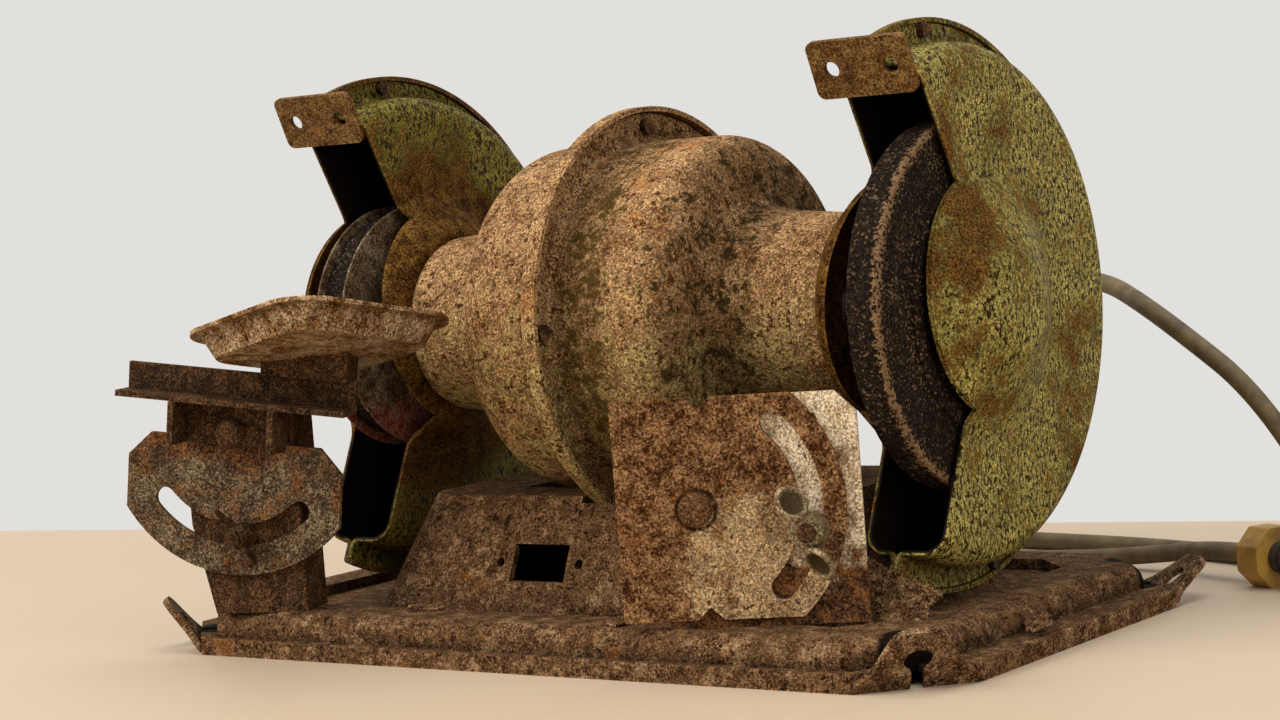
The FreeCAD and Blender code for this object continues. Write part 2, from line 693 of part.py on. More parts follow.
def wheel_cup(side, outer):
    """Dished steel flange; its rim presses on the blotter."""
    start = NUT_SEAT - CUP_W if outer else CUP_SEAT
    cup = ring_x(CUP_R, SPINDLE_THREAD_R + SEAT, start, start + CUP_W)
    rest = start if outer else start + CUP_W - 1.2
    near, deep = (rest - 1, rest + 1.2) if outer else (rest, rest + 2.2)
    cup = cup.cut(ring_x(CUP_R - 6, SPINDLE_THREAD_R + 3, near, deep))
    rim = [e for e in cup.Edges if e.Closed and abs(e.Curve.Radius - CUP_R) < 0.1
           and abs(e.CenterOfMass.x - (start + CUP_W if outer else start)) < 0.1]
    return mirrored(cup.makeFillet(2.2, rim), side)


def blotters(side, radius):
    pair = [ring_x(radius, SPINDLE_THREAD_R + SEAT, WHEEL_IN - BLOTTER_W, WHEEL_IN),
            ring_x(radius, SPINDLE_THREAD_R + SEAT, WHEEL_OUT, WHEEL_OUT + BLOTTER_W)]
    return Part.makeCompound([mirrored(p, side) for p in pair])


def wheel_nut(side):
    corner_r = NUT_AF / math.sqrt(3)
    hexagon = [(corner_r * math.cos(math.radians(60 * i)), corner_r * math.sin(math.radians(60 * i)), 0)
               for i in range(6)]
    nut = prism(hexagon, 0, NUT_W)
    cap = Part.makeCone(corner_r + NUT_W * 1.6, corner_r - 0.8, NUT_W + 0.01)
    nut = nut.common(cap).cut(Part.makeCylinder(SPINDLE_THREAD_R + SEAT, NUT_W + 2, vec(0, 0, -1)))
    nut.rotate(vec(0, 0, 0), vec(0, 1, 0), 90)
    nut.translate(vec(NUT_SEAT, 0, AXIS_Z))
    return mirrored(nut, side)


# Tool rests. Each is drawn in a frame at its pivot: x along the plate, y up, z towards the user.
def rest_frame(pivot, yaw, tilt=0.0):
    angle = math.radians(yaw)
    along = vec(math.cos(angle), math.sin(angle), 0)
    out = vec(math.sin(angle), -math.cos(angle), 0)
    turn = FreeCAD.Rotation(along, Z_DIR, out, "XYZ")
    lean = FreeCAD.Rotation(vec(0, 0, 1), tilt)
    return FreeCAD.Placement(vec(*pivot), turn.multiply(lean))


RIGHT_FRAME = rest_frame(RIGHT_PIVOT, RIGHT_YAW)
LEFT_FRAME = rest_frame(LEFT_PIVOT, LEFT_YAW)
LEFT_LEANING = rest_frame(LEFT_PIVOT, LEFT_YAW, LEFT_TILT)
POST_FRONT = -GAP                       # front face of a post, behind the arc plate's back
POST_BACK = -GAP - REST_SHEET


def placed(shape, frame):
    shape.Placement = frame.multiply(shape.Placement)
    return shape


def arc_slot(middle_deg):
    """Curved slot about the pivot, round at both ends."""
    inner, outer = SLOT_R - SLOT_W / 2, SLOT_R + SLOT_W / 2

    def at(radius, degrees):
        angle = math.radians(degrees)
        return vec(radius * math.cos(angle), radius * math.sin(angle), -20)

    low, high = middle_deg - SLOT_HALF_DEG, middle_deg + SLOT_HALF_DEG
    cap = math.degrees(SLOT_W / 2 / SLOT_R)
    points = [Part.Arc(at(outer, low), at(outer, middle_deg), at(outer, high)).toShape(),
              Part.Arc(at(outer, high), at(SLOT_R, high + cap), at(inner, high)).toShape(),
              Part.Arc(at(inner, high), at(inner, middle_deg), at(inner, low)).toShape(),
              Part.Arc(at(inner, low), at(SLOT_R, low - cap), at(outer, low)).toShape()]
    return Part.Face(Part.Wire(points)).extrude(vec(0, 0, 40))


def hole(radius, x, y):
    return Part.makeCylinder(radius, 60, vec(x, y, -30))


def right_arc_plate():
    left, half = -RIGHT_TO_LEFT, RIGHT_HALF_H
    foot = NOTCH_W / 2
    blank = prism([(left, -half, 0.8), (NOTCH_S - foot, -half, 0), (NOTCH_S, -half + NOTCH_D, 0.6),
                   (NOTCH_S + foot, -half, 0), (ARC_R + 5, -half, 0), (ARC_R + 5, half, 0),
                   (NOTCH_S + foot, half, 0), (NOTCH_S, half - NOTCH_D, 0.6),
                   (NOTCH_S - foot, half, 0), (left, half, 0.8)], 0, REST_SHEET)
    disc = Part.makeCylinder(ARC_R, REST_SHEET)
    strip = Part.makeBox(RIGHT_TO_LEFT + 5, 2 * half + 2, REST_SHEET, vec(left - 1, -half - 1, 0))
    plate = blank.common(disc.fuse(strip))
    plate = plate.cut(arc_slot(0)).cut(hole(PIVOT_D / 2 + FIT, 0, 0))
    return placed(plate.removeSplitter(), RIGHT_FRAME)


def clamp_place(degrees):
    angle = math.radians(degrees)
    return SLOT_R * math.cos(angle), SLOT_R * math.sin(angle)


def right_rest_post():
    low = BEAD_TOP - RIGHT_PIVOT[2]
    plate = prism([(POST_S0, low, 0), (POST_S1, low, 0), (POST_S1, POST_TOP - POST_CUT, 1),
                   (POST_S1 - POST_CUT, POST_TOP, 1), (POST_S0 + 20, POST_TOP, 1),
                   (POST_S0, POST_TOP - 20, 1)], POST_BACK, POST_FRONT)
    foot = Part.makeBox(FOOT_S1 - POST_S0, REST_SHEET, FOOT_D, vec(POST_S0, low, POST_BACK - FOOT_D))
    plate = plate.fuse(foot)
    x, y = clamp_place(RIGHT_CLAMP_DEG)
    plate = plate.cut(hole(CLAMP_D / 2 + SEAT, x, y)).cut(hole(PIVOT_D / 2 + SEAT, 0, 0))
    plate = plate.cut(hole(POST_HOLE_R, POST_HOLE_S, POST_HOLE_Z))
    for s in foot_bolt_places():
        plate = plate.cut(Part.makeCylinder(FOOT_BOLT_R + SEAT, 20, vec(s, low - 10, foot_bolt_depth()),
                                            vec(0, 1, 0)))
    return placed(plate.removeSplitter(), RIGHT_FRAME)


def foot_bolt_places():
    third = (FOOT_S1 - POST_S0) / 4
    return [POST_S0 + third, FOOT_S1 - third]


def foot_bolt_depth():
    return POST_BACK - FOOT_D / 2


def foot_bolts_right(radius, with_head):
    low = BEAD_TOP - RIGHT_PIVOT[2]
    bolts = []
    for s in foot_bolt_places():
        at = vec(s, low + REST_SHEET, foot_bolt_depth())
        shank = Part.makeCylinder(radius, REST_SHEET + BEAD_TOP - FLOOR_TOP + FOOT_TAIL, at, vec(0, -1, 0))
        if with_head:
            shank = shank.fuse(Part.makeCylinder(FOOT_HEAD_R, FOOT_HEAD_H, at, vec(0, 1, 0)))
        bolts.append(placed(shank, RIGHT_FRAME))
    return bolts


def pivot_pin(front, frame):
    """Headed pivot through a rest and its post, peened over behind."""
    shank = Part.makeCylinder(PIVOT_D / 2, front + GAP - POST_BACK + 2, vec(0, 0, POST_BACK - 2))
    head = Part.makeCylinder(PIVOT_HEAD_R, PIVOT_HEAD_H, vec(0, 0, front + GAP))
    dome = [e for e in head.Edges if e.Closed and e.CenterOfMass.z > front + GAP + 0.1]
    head = head.makeFillet(PIVOT_HEAD_H * 0.45, dome)
    tail = Part.makeCylinder(PIVOT_HEAD_R, 2, vec(0, 0, POST_BACK - 2))
    return placed(shank.fuse(head).fuse(tail), frame)


def clamp_bolt(degrees, frame):
    x, y = clamp_place(degrees)
    length = REST_SHEET + GAP - POST_BACK + WING_HUB_H + 2
    shank = Part.makeCylinder(CLAMP_D / 2, length, vec(x, y, POST_BACK))
    head = Part.makeCylinder(CLAMP_HEAD_R, CLAMP_HEAD_H, vec(x, y, POST_BACK - CLAMP_HEAD_H))
    return placed(shank.fuse(head), frame)


def wing_nut(degrees, frame, wings_deg):
    x, y = clamp_place(degrees)
    seat = REST_SHEET + GAP
    hub = Part.makeCone(WING_HUB_R, WING_HUB_R - 1.2, WING_HUB_H)
    nut = hub
    for side in (-1, 1):
        wing = prism([(0, 1, 0), (side * WING_HUB_R, 2, 0), (side * WING_SPAN, WING_H * 0.55, 2.5),
                      (side * (WING_SPAN - 1.5), WING_H, 2.5), (side * WING_HUB_R, WING_HUB_H, 0),
                      (0, WING_HUB_H - 1, 0)], -WING_T / 2, WING_T / 2)
        wing.rotate(vec(0, 0, 0), X_DIR, 90)
        nut = nut.fuse(wing)
    nut = nut.cut(Part.makeCylinder(CLAMP_D / 2 + FIT, 40, vec(0, 0, -5)))
    nut.rotate(vec(0, 0, 0), Z_DIR, wings_deg)
    nut.translate(vec(x, y, seat))
    return placed(nut.removeSplitter(), frame)


def left_arc_plate():
    half, top = LEFT_HALF_W, LEFT_PLATE_TOP
    cut = LEFT_CHAMFER
    low = -LEFT_ARC_R - 5
    blank = prism([(-half, low, 0), (half, low, 0), (half, top - cut, 0),
                   (half - cut, top, 0), (TONGUE_HALF_W, top, 0), (TONGUE_HALF_W, TONGUE_TOP, 0),
                   (-TONGUE_HALF_W, TONGUE_TOP, 0), (-TONGUE_HALF_W, top, 0),
                   (-half + cut, top, 0), (-half, top - cut, 0)], 0, REST_SHEET)
    plate = blank.common(Part.makeCylinder(LEFT_ARC_R, REST_SHEET))
    plate = plate.cut(arc_slot(270)).cut(hole(PIVOT_D / 2 + FIT, 0, 0))
    return placed(plate.removeSplitter(), LEFT_LEANING)


def left_rest_riser():
    """Channel that carries the table's bar, open to the front."""
    web = Part.makeBox(2 * RISER_HALF_W, RISER_TOP - RISER_LOW, REST_SHEET,
                       vec(-RISER_HALF_W, RISER_LOW, REST_SHEET))
    riser = web
    for x in (-RISER_HALF_W, RISER_HALF_W - REST_SHEET):
        riser = riser.fuse(Part.makeBox(REST_SHEET, RISER_TOP - RISER_LOW, RISER_FLANGE,
                                        vec(x, RISER_LOW, REST_SHEET)))
    riser = riser.cut(hole(PIVOT_D / 2 + FIT, 0, 0))
    return placed(riser.removeSplitter(), LEFT_LEANING)


def left_rest_bar():
    upright = Part.makeBox(BAR_S1 - BAR_S0, BAR_H, REST_SHEET, vec(BAR_S0, RISER_TOP, REST_SHEET))
    ledge = Part.makeBox(BAR_S1 - BAR_S0, REST_SHEET, BAR_DEPTH,
                         vec(BAR_S0, RISER_TOP, REST_SHEET))
    return placed(upright.fuse(ledge).removeSplitter(), LEFT_LEANING)


def tray_frame():
    turn = FreeCAD.Rotation(vec(0, 1, 0), -TRAY_ROLL).multiply(FreeCAD.Rotation(X_DIR, -TRAY_PITCH))
    turn = FreeCAD.Rotation(Z_DIR, TRAY_YAW).multiply(turn)
    spot = LEFT_FRAME.multVec(vec(TRAY_S, TRAY_UP, TRAY_DEPTH_AT))
    return FreeCAD.Placement(spot, turn)


def tray_loft(inset, floor):
    high = flat_face(round_rect(TRAY_W / 2 - TRAY_RIM - inset, TRAY_D / 2 - TRAY_RIM - inset,
                                TRAY_ROUND - inset))
    low_in = TRAY_RIM + TRAY_DRAFT + inset
    low = flat_face(round_rect(TRAY_W / 2 - low_in, TRAY_D / 2 - low_in, TRAY_ROUND - inset - 2))
    low.translate(vec(0, 0, floor))
    return Part.makeLoft([low.OuterWire, high.OuterWire], True, True)


def left_rest_table():
    """Pressed tray with leaning walls and a flared rim."""
    rim = prism(round_rect(TRAY_W / 2, TRAY_D / 2, TRAY_ROUND + TRAY_RIM), -TRAY_SHEET, 0)
    tray = tray_loft(0, -TRAY_H).fuse(rim)
    room = tray_loft(TRAY_SHEET, -TRAY_H + TRAY_SHEET)
    return placed(tray.cut(room).removeSplitter(), tray_frame())


def left_table_leaf():
    """Wedge leaf that tips the tray on its bar."""
    top = RISER_TOP + BAR_H
    block = Part.makeBox(LEAF_S1 - LEAF_S0, 40, REST_SHEET + 8, vec(LEAF_S0, top, REST_SHEET - 4))
    block = placed(block, LEFT_LEANING)
    above = Part.makeBox(2 * CUT_REACH, 2 * CUT_REACH, CUT_REACH, vec(-CUT_REACH, -CUT_REACH, -TRAY_H))
    return block.cut(placed(above, tray_frame()))


def left_rest_post():
    low = BEAD_TOP - LEFT_PIVOT[2]
    half, back = LEFT_POST_HALF_W, POST_BACK - LEFT_POST_FLANGE
    post = prism([(LEFT_FOOT_S0, low, 0), (half, low, 0), (half, LEFT_POST_TOP, 1), (-half, LEFT_POST_TOP, 1),
                  (-half, low + LEFT_POST_WAIST, 2)], POST_BACK, POST_FRONT)
    post = post.fuse(Part.makeBox(REST_SHEET, LEFT_POST_TOP - low, LEFT_POST_FLANGE,
                                  vec(half - REST_SHEET, low, back)))
    foot = Part.makeBox(half - LEFT_FOOT_S0, REST_SHEET, LEFT_POST_FLANGE, vec(LEFT_FOOT_S0, low, back))
    post = post.fuse(foot)
    x, y = clamp_place(270)
    post = post.cut(hole(CLAMP_D / 2 + SEAT, x, y)).cut(hole(PIVOT_D / 2 + SEAT, 0, 0))
    for bolt in left_foot_tools(FOOT_BOLT_R + SEAT, False):
        post = post.cut(bolt)
    return placed(post.removeSplitter(), LEFT_FRAME)


def left_foot_tools(radius, with_head):
    """Foot bolts of the left post, in its own frame."""
    low = BEAD_TOP - LEFT_PIVOT[2]
    bolts = []
    for x in (LEFT_FOOT_S0 + FOOT_HEAD_R, LEFT_POST_HALF_W - REST_SHEET - FOOT_HEAD_R):
        at = vec(x, low + REST_SHEET, POST_BACK - LEFT_POST_FLANGE / 2)
        bolt = Part.makeCylinder(radius, REST_SHEET + BEAD_TOP - FLOOR_TOP + FOOT_TAIL, at, vec(0, -1, 0))
        if with_head:
            bolt = bolt.fuse(Part.makeCylinder(FOOT_HEAD_R - 1, FOOT_HEAD_H, at, vec(0, 1, 0)))
        bolts.append(bolt)
    return bolts


def post_foot_bolts():
    bolts = foot_bolts_right(FOOT_BOLT_R, True)
    bolts += [placed(b, LEFT_FRAME) for b in left_foot_tools(FOOT_BOLT_R, True)]
    return Part.makeCompound(bolts)


# Mains cord: it leaves the back of the motor, drops behind the right guard, lies on the bench,
# turns back behind the base and ends in its plug
GLAND_Y = math.sqrt(SHELL_R ** 2 - GLAND_FLANGE_R ** 2)
CORD_EXIT = (GLAND_X, GLAND_Y + GLAND_L, AXIS_Z)
LIE = CORD_D / 2
CORD_ROUTE = [CORD_EXIT, (GLAND_X, 119, AXIS_Z), (46, 146, 115), (80, 150, 115), (110, 134, 113),
              (134, 115, 105.5), (158, 103, 93), (184, 95, 76), (205, 95, 46), (206, 113, 17), (186, 139, 7),
              (158, 158, 4), (126, 171, LIE), (92, 181, LIE), (54, 187, LIE), (12, 193, LIE), (-32, 204, LIE),
              (-72, 202, LIE), (-101, 173, LIE), (-96, 133, LIE), (-62, 111, LIE), (-24, 117, LIE),
              (12, 130, LIE), (48, 142, LIE), (86, 147, LIE), (120, 144, 6.5), (148, 133.5, COLLAR_R),
              (172, 122, COLLAR_R)]


def cord_corner_radius(before, here, after):
    a, b = before - here, after - here
    half = a.getAngle(b) / 2.0
    return 0.45 * min(a.Length, b.Length) * math.tan(half)


def mains_cord():
    points = [vec(*p) for p in CORD_ROUTE]
    corners = [(points[0], 0)]
    for before, here, after in zip(points, points[1:], points[2:]):
        radius = cord_corner_radius(before, here, after)
        corners.append((here, radius))
    corners.append((points[-1], 0))
    path = Part.Wire(path_edges(corners, False))
    start = points[1] - points[0]
    ring = Part.Wire([Part.makeCircle(CORD_D / 2, points[0], start)])
    tube = path.makePipeShell([ring], True, False)
    if tube.Volume < 0:
        tube.reverse()
    plain = path.Length * math.pi * (CORD_D / 2) ** 2
    print("cord length", round(path.Length, 1), "volume ratio", round(tube.Volume / plain, 4))
    return tube


def cord_gland():
    """Rubber strain relief with a flange seated on the shell's back."""
    x, z = GLAND_X, AXIS_Z
    y_dir = vec(0, 1, 0)
    gland = Part.makeCylinder(GLAND_FLANGE_R, 6, vec(x, GLAND_Y - 3, z), y_dir)
    gland = gland.fuse(Part.makeCone(GLAND_R + 1.5, GLAND_R, GLAND_L, vec(x, GLAND_Y, z), y_dir))
    for i in range(3):
        ring_y = GLAND_Y + 6 + 4 * i
        groove = Part.makeCylinder(GLAND_FLANGE_R + 5, 1.4, vec(x, ring_y, z), y_dir)
        groove = groove.cut(Part.makeCylinder(GLAND_R - 0.9, 4, vec(x, ring_y - 1, z), y_dir))
        gland = gland.cut(groove)
    return gland.cut(cylinder_x(SHELL_R, -CUT_REACH, CUT_REACH)).removeSplitter()


def plug_parts():
    """Collar, ribbed body and two pins, drawn along X and laid at the cord's end."""
    corner_r = COLLAR_R / math.cos(math.radians(22.5))
    ring = []
    for i in range(8):
        angle = math.radians(22.5 + 45 * i)
        ring.append((corner_r * math.cos(angle), corner_r * math.sin(angle), 1.5))
    collar = prism(ring, 0, COLLAR_L)
    collar.rotate(vec(0, 0, 0), vec(0, 1, 0), 90)
    body = Part.makeCylinder(PLUG_R, PLUG_L, vec(COLLAR_L, 0, 0), X_DIR)
    pitch = PLUG_L / (PLUG_RIBS + 2)
    for i in range(PLUG_RIBS):
        rib = vec(COLLAR_L + pitch * (i + 0.75), 0, 0)
        body = body.fuse(Part.makeCylinder(PLUG_R + PLUG_RIB, pitch * 0.5, rib, X_DIR))
    tip = COLLAR_L + PLUG_L
    blades = []
    for side in (-1, 1):
        blade = Part.makeCylinder(BLADE_R, BLADE_L, vec(tip, side * BLADE_HALF_PITCH, 0), X_DIR)
        edge = [e for e in blade.Edges if e.Closed and e.CenterOfMass.x > tip + BLADE_L - 0.1]
        blades.append(blade.makeFillet(BLADE_R * 0.6, edge))
    aim = vec(*CORD_ROUTE[-1]) - vec(*CORD_ROUTE[-2])
    frame = FreeCAD.Placement(vec(*CORD_ROUTE[-1]), FreeCAD.Rotation(X_DIR, aim))
    pieces = (collar, body.removeSplitter(), Part.makeCompound(blades))
    return [placed(piece, frame) for piece in pieces]


def main():
    os.makedirs("parts", exist_ok=True)
    flange_drill = FLANGE_SCREW_D / 2 + SEAT
    pan = base_pan().cut(mount_bolt_tools(MOUNT_BOLT_R + SEAT, 0, 6))
    for bolt in foot_bolts_right(FOOT_BOLT_R + SEAT, False):
        pan = pan.cut(bolt)
    for bolt in left_foot_tools(FOOT_BOLT_R + SEAT, False):
        pan = pan.cut(placed(bolt, LEFT_FRAME))
    save("base_pan", pan)
    mount_holes = mount_bolt_tools(MOUNT_BOLT_R + SEAT, 0, 2)
    for name, shell in (("motor_shell_left", motor_shell_left()), ("motor_shell_right", motor_shell_right())):
        shell = drill_x(shell, neck_screw_places(), NECK_SCREW_D / 2 + SEAT)
        shell = drill_x(shell, flange_screw_places(), flange_drill)
        save(name, shell.cut(mount_holes))
    save("shell_screws", shell_screws())
    save("motor_mount_bolts", mount_bolt_tools(MOUNT_BOLT_R, 5.5, 0))
    save("stator_core", stator_core())
    save("stator_coils", stator_coils())
    save("bearing_housing_left", bearing_housing(BEARING_LEFT))
    save("bearing_housing_right", bearing_housing(BEARING_RIGHT))
    save("bearing_left", ball_bearing(BEARING_LEFT))
    save("bearing_right", ball_bearing(BEARING_RIGHT))
    save("guard_left_outer", guard_half(GUARD_LEFT_X, True, False))
    save("guard_left_inner", guard_half(GUARD_LEFT_X, False, True))
    save("guard_right_inner", guard_half(GUARD_RIGHT_X, True, True))
    save("guard_right_outer", guard_half(GUARD_RIGHT_X, False, False))
    save("guard_left_rim_screws", rim_screws(GUARD_LEFT_X))
    save("guard_right_rim_screws", rim_screws(GUARD_RIGHT_X))
    save("guard_left_neck_screws", neck_screws(-1))
    save("guard_right_neck_screws", neck_screws(1))
    save("shield_tab_left", shield_tab(GUARD_LEFT_X))
    save("shield_tab_right", shield_tab(GUARD_RIGHT_X))
    save("spindle", spindle())
    save("rotor_core", rotor_core())
    save("wheel_left", wheel(-1, WHEEL_WORN_R))
    save("wheel_right", wheel(1, WHEEL_R))
    for side, word in ((-1, "left"), (1, "right")):
        save("wheel_flange_inner_" + word, wheel_cup(side, False))
        save("wheel_flange_outer_" + word, wheel_cup(side, True))
        save("wheel_nut_" + word, wheel_nut(side))
    save("blotters_left", blotters(-1, BLOTTER_R))
    save("blotters_right", blotters(1, CUP_R + 1))
    save("right_arc_plate", right_arc_plate())
    save("right_rest_post", right_rest_post())
    save("right_pivot_rivet", pivot_pin(REST_SHEET, RIGHT_FRAME))
    save("right_clamp_bolt", clamp_bolt(RIGHT_CLAMP_DEG, RIGHT_FRAME))
    save("right_wing_nut", wing_nut(RIGHT_CLAMP_DEG, RIGHT_FRAME, 112))
    save("left_arc_plate", left_arc_plate())
    save("left_rest_riser", left_rest_riser())
    save("left_rest_bar", left_rest_bar())
    save("left_table_leaf", left_table_leaf())
    save("left_rest_table", left_rest_table())
    save("left_rest_post", left_rest_post())
    save("left_pivot_bolt", pivot_pin(2 * REST_SHEET, LEFT_FRAME))
    save("left_clamp_bolt", clamp_bolt(270, LEFT_FRAME))
    save("left_wing_nut", wing_nut(270, LEFT_FRAME, 125))
    save("post_foot_bolts", post_foot_bolts())
    save("cord_gland", cord_gland())
    save("mains_cord", mains_cord())
    collar, body, blades = plug_parts()
    save("plug_collar", collar)
    save("plug_body", body)
    save("plug_blades", blades)


main()
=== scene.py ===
# Old bench grinder: rust, worn paint, cord and small loose pieces around the solid frame.
import math
import random

import bpy
from bpy.props import FloatProperty, FloatVectorProperty, PointerProperty
from mathutils import Matrix, Vector


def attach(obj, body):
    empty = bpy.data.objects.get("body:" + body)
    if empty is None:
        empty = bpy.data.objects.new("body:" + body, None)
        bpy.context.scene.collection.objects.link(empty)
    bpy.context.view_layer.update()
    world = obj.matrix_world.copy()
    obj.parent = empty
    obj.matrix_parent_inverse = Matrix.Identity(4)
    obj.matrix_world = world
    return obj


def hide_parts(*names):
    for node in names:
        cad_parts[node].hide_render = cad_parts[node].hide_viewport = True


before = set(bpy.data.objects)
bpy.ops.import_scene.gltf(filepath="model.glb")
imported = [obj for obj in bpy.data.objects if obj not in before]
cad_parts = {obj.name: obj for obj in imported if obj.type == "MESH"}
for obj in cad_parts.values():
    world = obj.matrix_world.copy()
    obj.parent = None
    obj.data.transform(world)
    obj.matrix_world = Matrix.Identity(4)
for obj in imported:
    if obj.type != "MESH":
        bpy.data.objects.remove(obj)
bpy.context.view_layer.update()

bl_info = {
    "name": "Bench Grinder Finish",
    "version": (1, 0, 0),
    "blender": (4, 5, 0),
    "location": "3D View > Sidebar > Grinder",
    "description": "Rusted finishes, cord and loose pieces of an old bench grinder",
    "category": "Object",
}

# Places in the frame, in metres
AXIS_HEIGHT = 0.115        # motor axis over the bench
GUARD_RADIUS = 0.089       # outside of a guard's drum
GUARD_ROUND = 0.008        # rounding of the drum's corners
PAN_MIDDLE = -0.012        # middle of the pan along the motor axis

# Grain of the finishes, in millimetres
MOTTLE_MM = 6.0            # soft change of tone across old steel
GRAIN_MM = 0.8             # grain of rust, nearer 0.2 in truth, drawn coarser so that it shows
GRIT_MM = 0.8              # grains of a wheel, nearer 0.5 in truth, drawn coarser so that they show
LOADING_MM = 14.0          # patches of a wheel that are filled with metal dust
DUST_MM = 11.0             # clouds of dust on rubber
TARNISH_MM = 5.0           # clouds of tarnish on bare metal
TURNING_MM = 0.5           # turning marks, nearer 0.1 in truth, drawn coarser so that they show

# Where the tones of a coat and of rust lie along the grain, from 0 to 1
COAT_STOPS = (0.45, 0.5, 0.55)
RUST_STOPS = (0.44, 0.48, 0.52, 0.56)

# How far old steel looks for corners that get painted shade and for thin edges, and its pits' depth, in
# metres
NOOK_REACH = 0.014
EDGE_REACH = 0.001
PIT_DEPTH = 0.0016

SMOOTH_ANGLE = math.radians(40)        # faces that meet at less than this are shaded as one


def linear(text):
    """sRGB hex to a linear colour with alpha."""
    values = [int(text[i:i + 2], 16) / 255 for i in (1, 3, 5)]
    return [v / 12.92 if v <= 0.04045 else ((v + 0.055) / 1.055) ** 2.4 for v in values] + [1.0]


def per_mm(size):
    """Texture scale that gives features of about this size in millimetres."""
    return 1000.0 / size


def tones(colour, dark=0.52, light=1.5):
    """Darker, plain and lighter tone of one finish colour."""
    return [tuple(min(1.0, channel * share) for channel in colour) + (1.0,) for share in (dark, 1.0, light)]


def add(tree, kind, inputs=None, ramp=None, **settings):
    """Adds one node with its settings, and sets or links its inputs by name or place."""
    made = tree.nodes.new(kind)
    for key, value in settings.items():
        setattr(made, key, value)
    if ramp:
        stops = made.color_ramp.elements
        while len(stops) < len(ramp):
            stops.new(0.5)
        for stop, (place, colour) in zip(stops, ramp):
            stop.position = place
            stop.color = linear(colour) if isinstance(colour, str) else colour
    for key, value in (inputs or {}).items():
        socket = made.inputs[key]
        if isinstance(value, bpy.types.NodeSocket):
            tree.links.new(value, socket)
        else:
            socket.default_value = value
    return made


def new_material(name):
    """A node material with its tree and its surface shader."""
    material = bpy.data.materials.new(name)
    material.use_nodes = True
    tree = material.node_tree
    return material, tree, tree.nodes["Principled BSDF"]


def region(tree, place, where):
    """Mask from 0 to 1 by place: along an axis, away from the motor axis, away from a spot or from
    the base's corners, or inside a guard. A list of regions gives the mask where all of them hold."""
    if isinstance(where, list):
        masks = [region(tree, place, one) for one in where]
        whole = masks[0]
        for mask in masks[1:]:
            whole = add(tree, "ShaderNodeMath", {0: whole, 1: mask}, operation="MULTIPLY").outputs[0]
        return whole
    kind, low, high = where[:3]
    if kind == "spot":
        length = add(tree, "ShaderNodeVectorMath", {0: place, 1: where[3]},
                     operation="DISTANCE").outputs["Value"]
    elif kind == "corners":
        middle = add(tree, "ShaderNodeVectorMath", {0: place, 1: (-PAN_MIDDLE, 0, 0)},
                     operation="ADD").outputs[0]
        folded = add(tree, "ShaderNodeVectorMath", {0: middle}, operation="ABSOLUTE").outputs[0]
        length = add(tree, "ShaderNodeVectorMath", {0: folded, 1: where[3]},
                     operation="DISTANCE").outputs["Value"]
    elif kind in ("radius", "hollow"):
        flat = add(tree, "ShaderNodeVectorMath", {0: place, 1: (0, 1, 1)}, operation="MULTIPLY").outputs[0]
        length = add(tree, "ShaderNodeVectorMath", {0: flat, 1: (0, 0, AXIS_HEIGHT)},
                     operation="DISTANCE").outputs["Value"]
        if kind == "hollow":
            corner, side = where[3]
            across = add(tree, "ShaderNodeSeparateXYZ", {"Vector": place}).outputs["X"]
            across = add(tree, "ShaderNodeMath", {0: across, 1: side, 2: -corner * side},
                         operation="MULTIPLY_ADD").outputs[0]
            across = add(tree, "ShaderNodeMath", {0: across, 1: 0.0}, operation="MAXIMUM").outputs[0]
            out = add(tree, "ShaderNodeMath", {0: length, 1: GUARD_RADIUS - GUARD_ROUND},
                      operation="SUBTRACT").outputs[0]
            out = add(tree, "ShaderNodeMath", {0: out, 1: 0.0}, operation="MAXIMUM").outputs[0]
            both = add(tree, "ShaderNodeCombineXYZ", {"X": across, "Y": out}).outputs[0]
            length = add(tree, "ShaderNodeVectorMath", {0: both}, operation="LENGTH").outputs["Value"]
    else:
        length = add(tree, "ShaderNodeSeparateXYZ", {"Vector": place}).outputs[kind]
    return add(tree, "ShaderNodeMapRange", {"Value": length, "From Min": low, "From Max": high}).outputs[0]


def ragged(tree, mask, cloud, gain):
    """Breaks a smooth mask's edge up with a cloud."""
    shift = add(tree, "ShaderNodeMath", {0: cloud, 1: 0.5}, operation="SUBTRACT").outputs[0]
    broken = add(tree, "ShaderNodeMath", {0: shift, 1: gain, 2: mask}, operation="MULTIPLY_ADD").outputs[0]
    return add(tree, "ShaderNodeMapRange", {"Value": broken, "From Min": 0.3, "From Max": 0.7}).outputs[0]


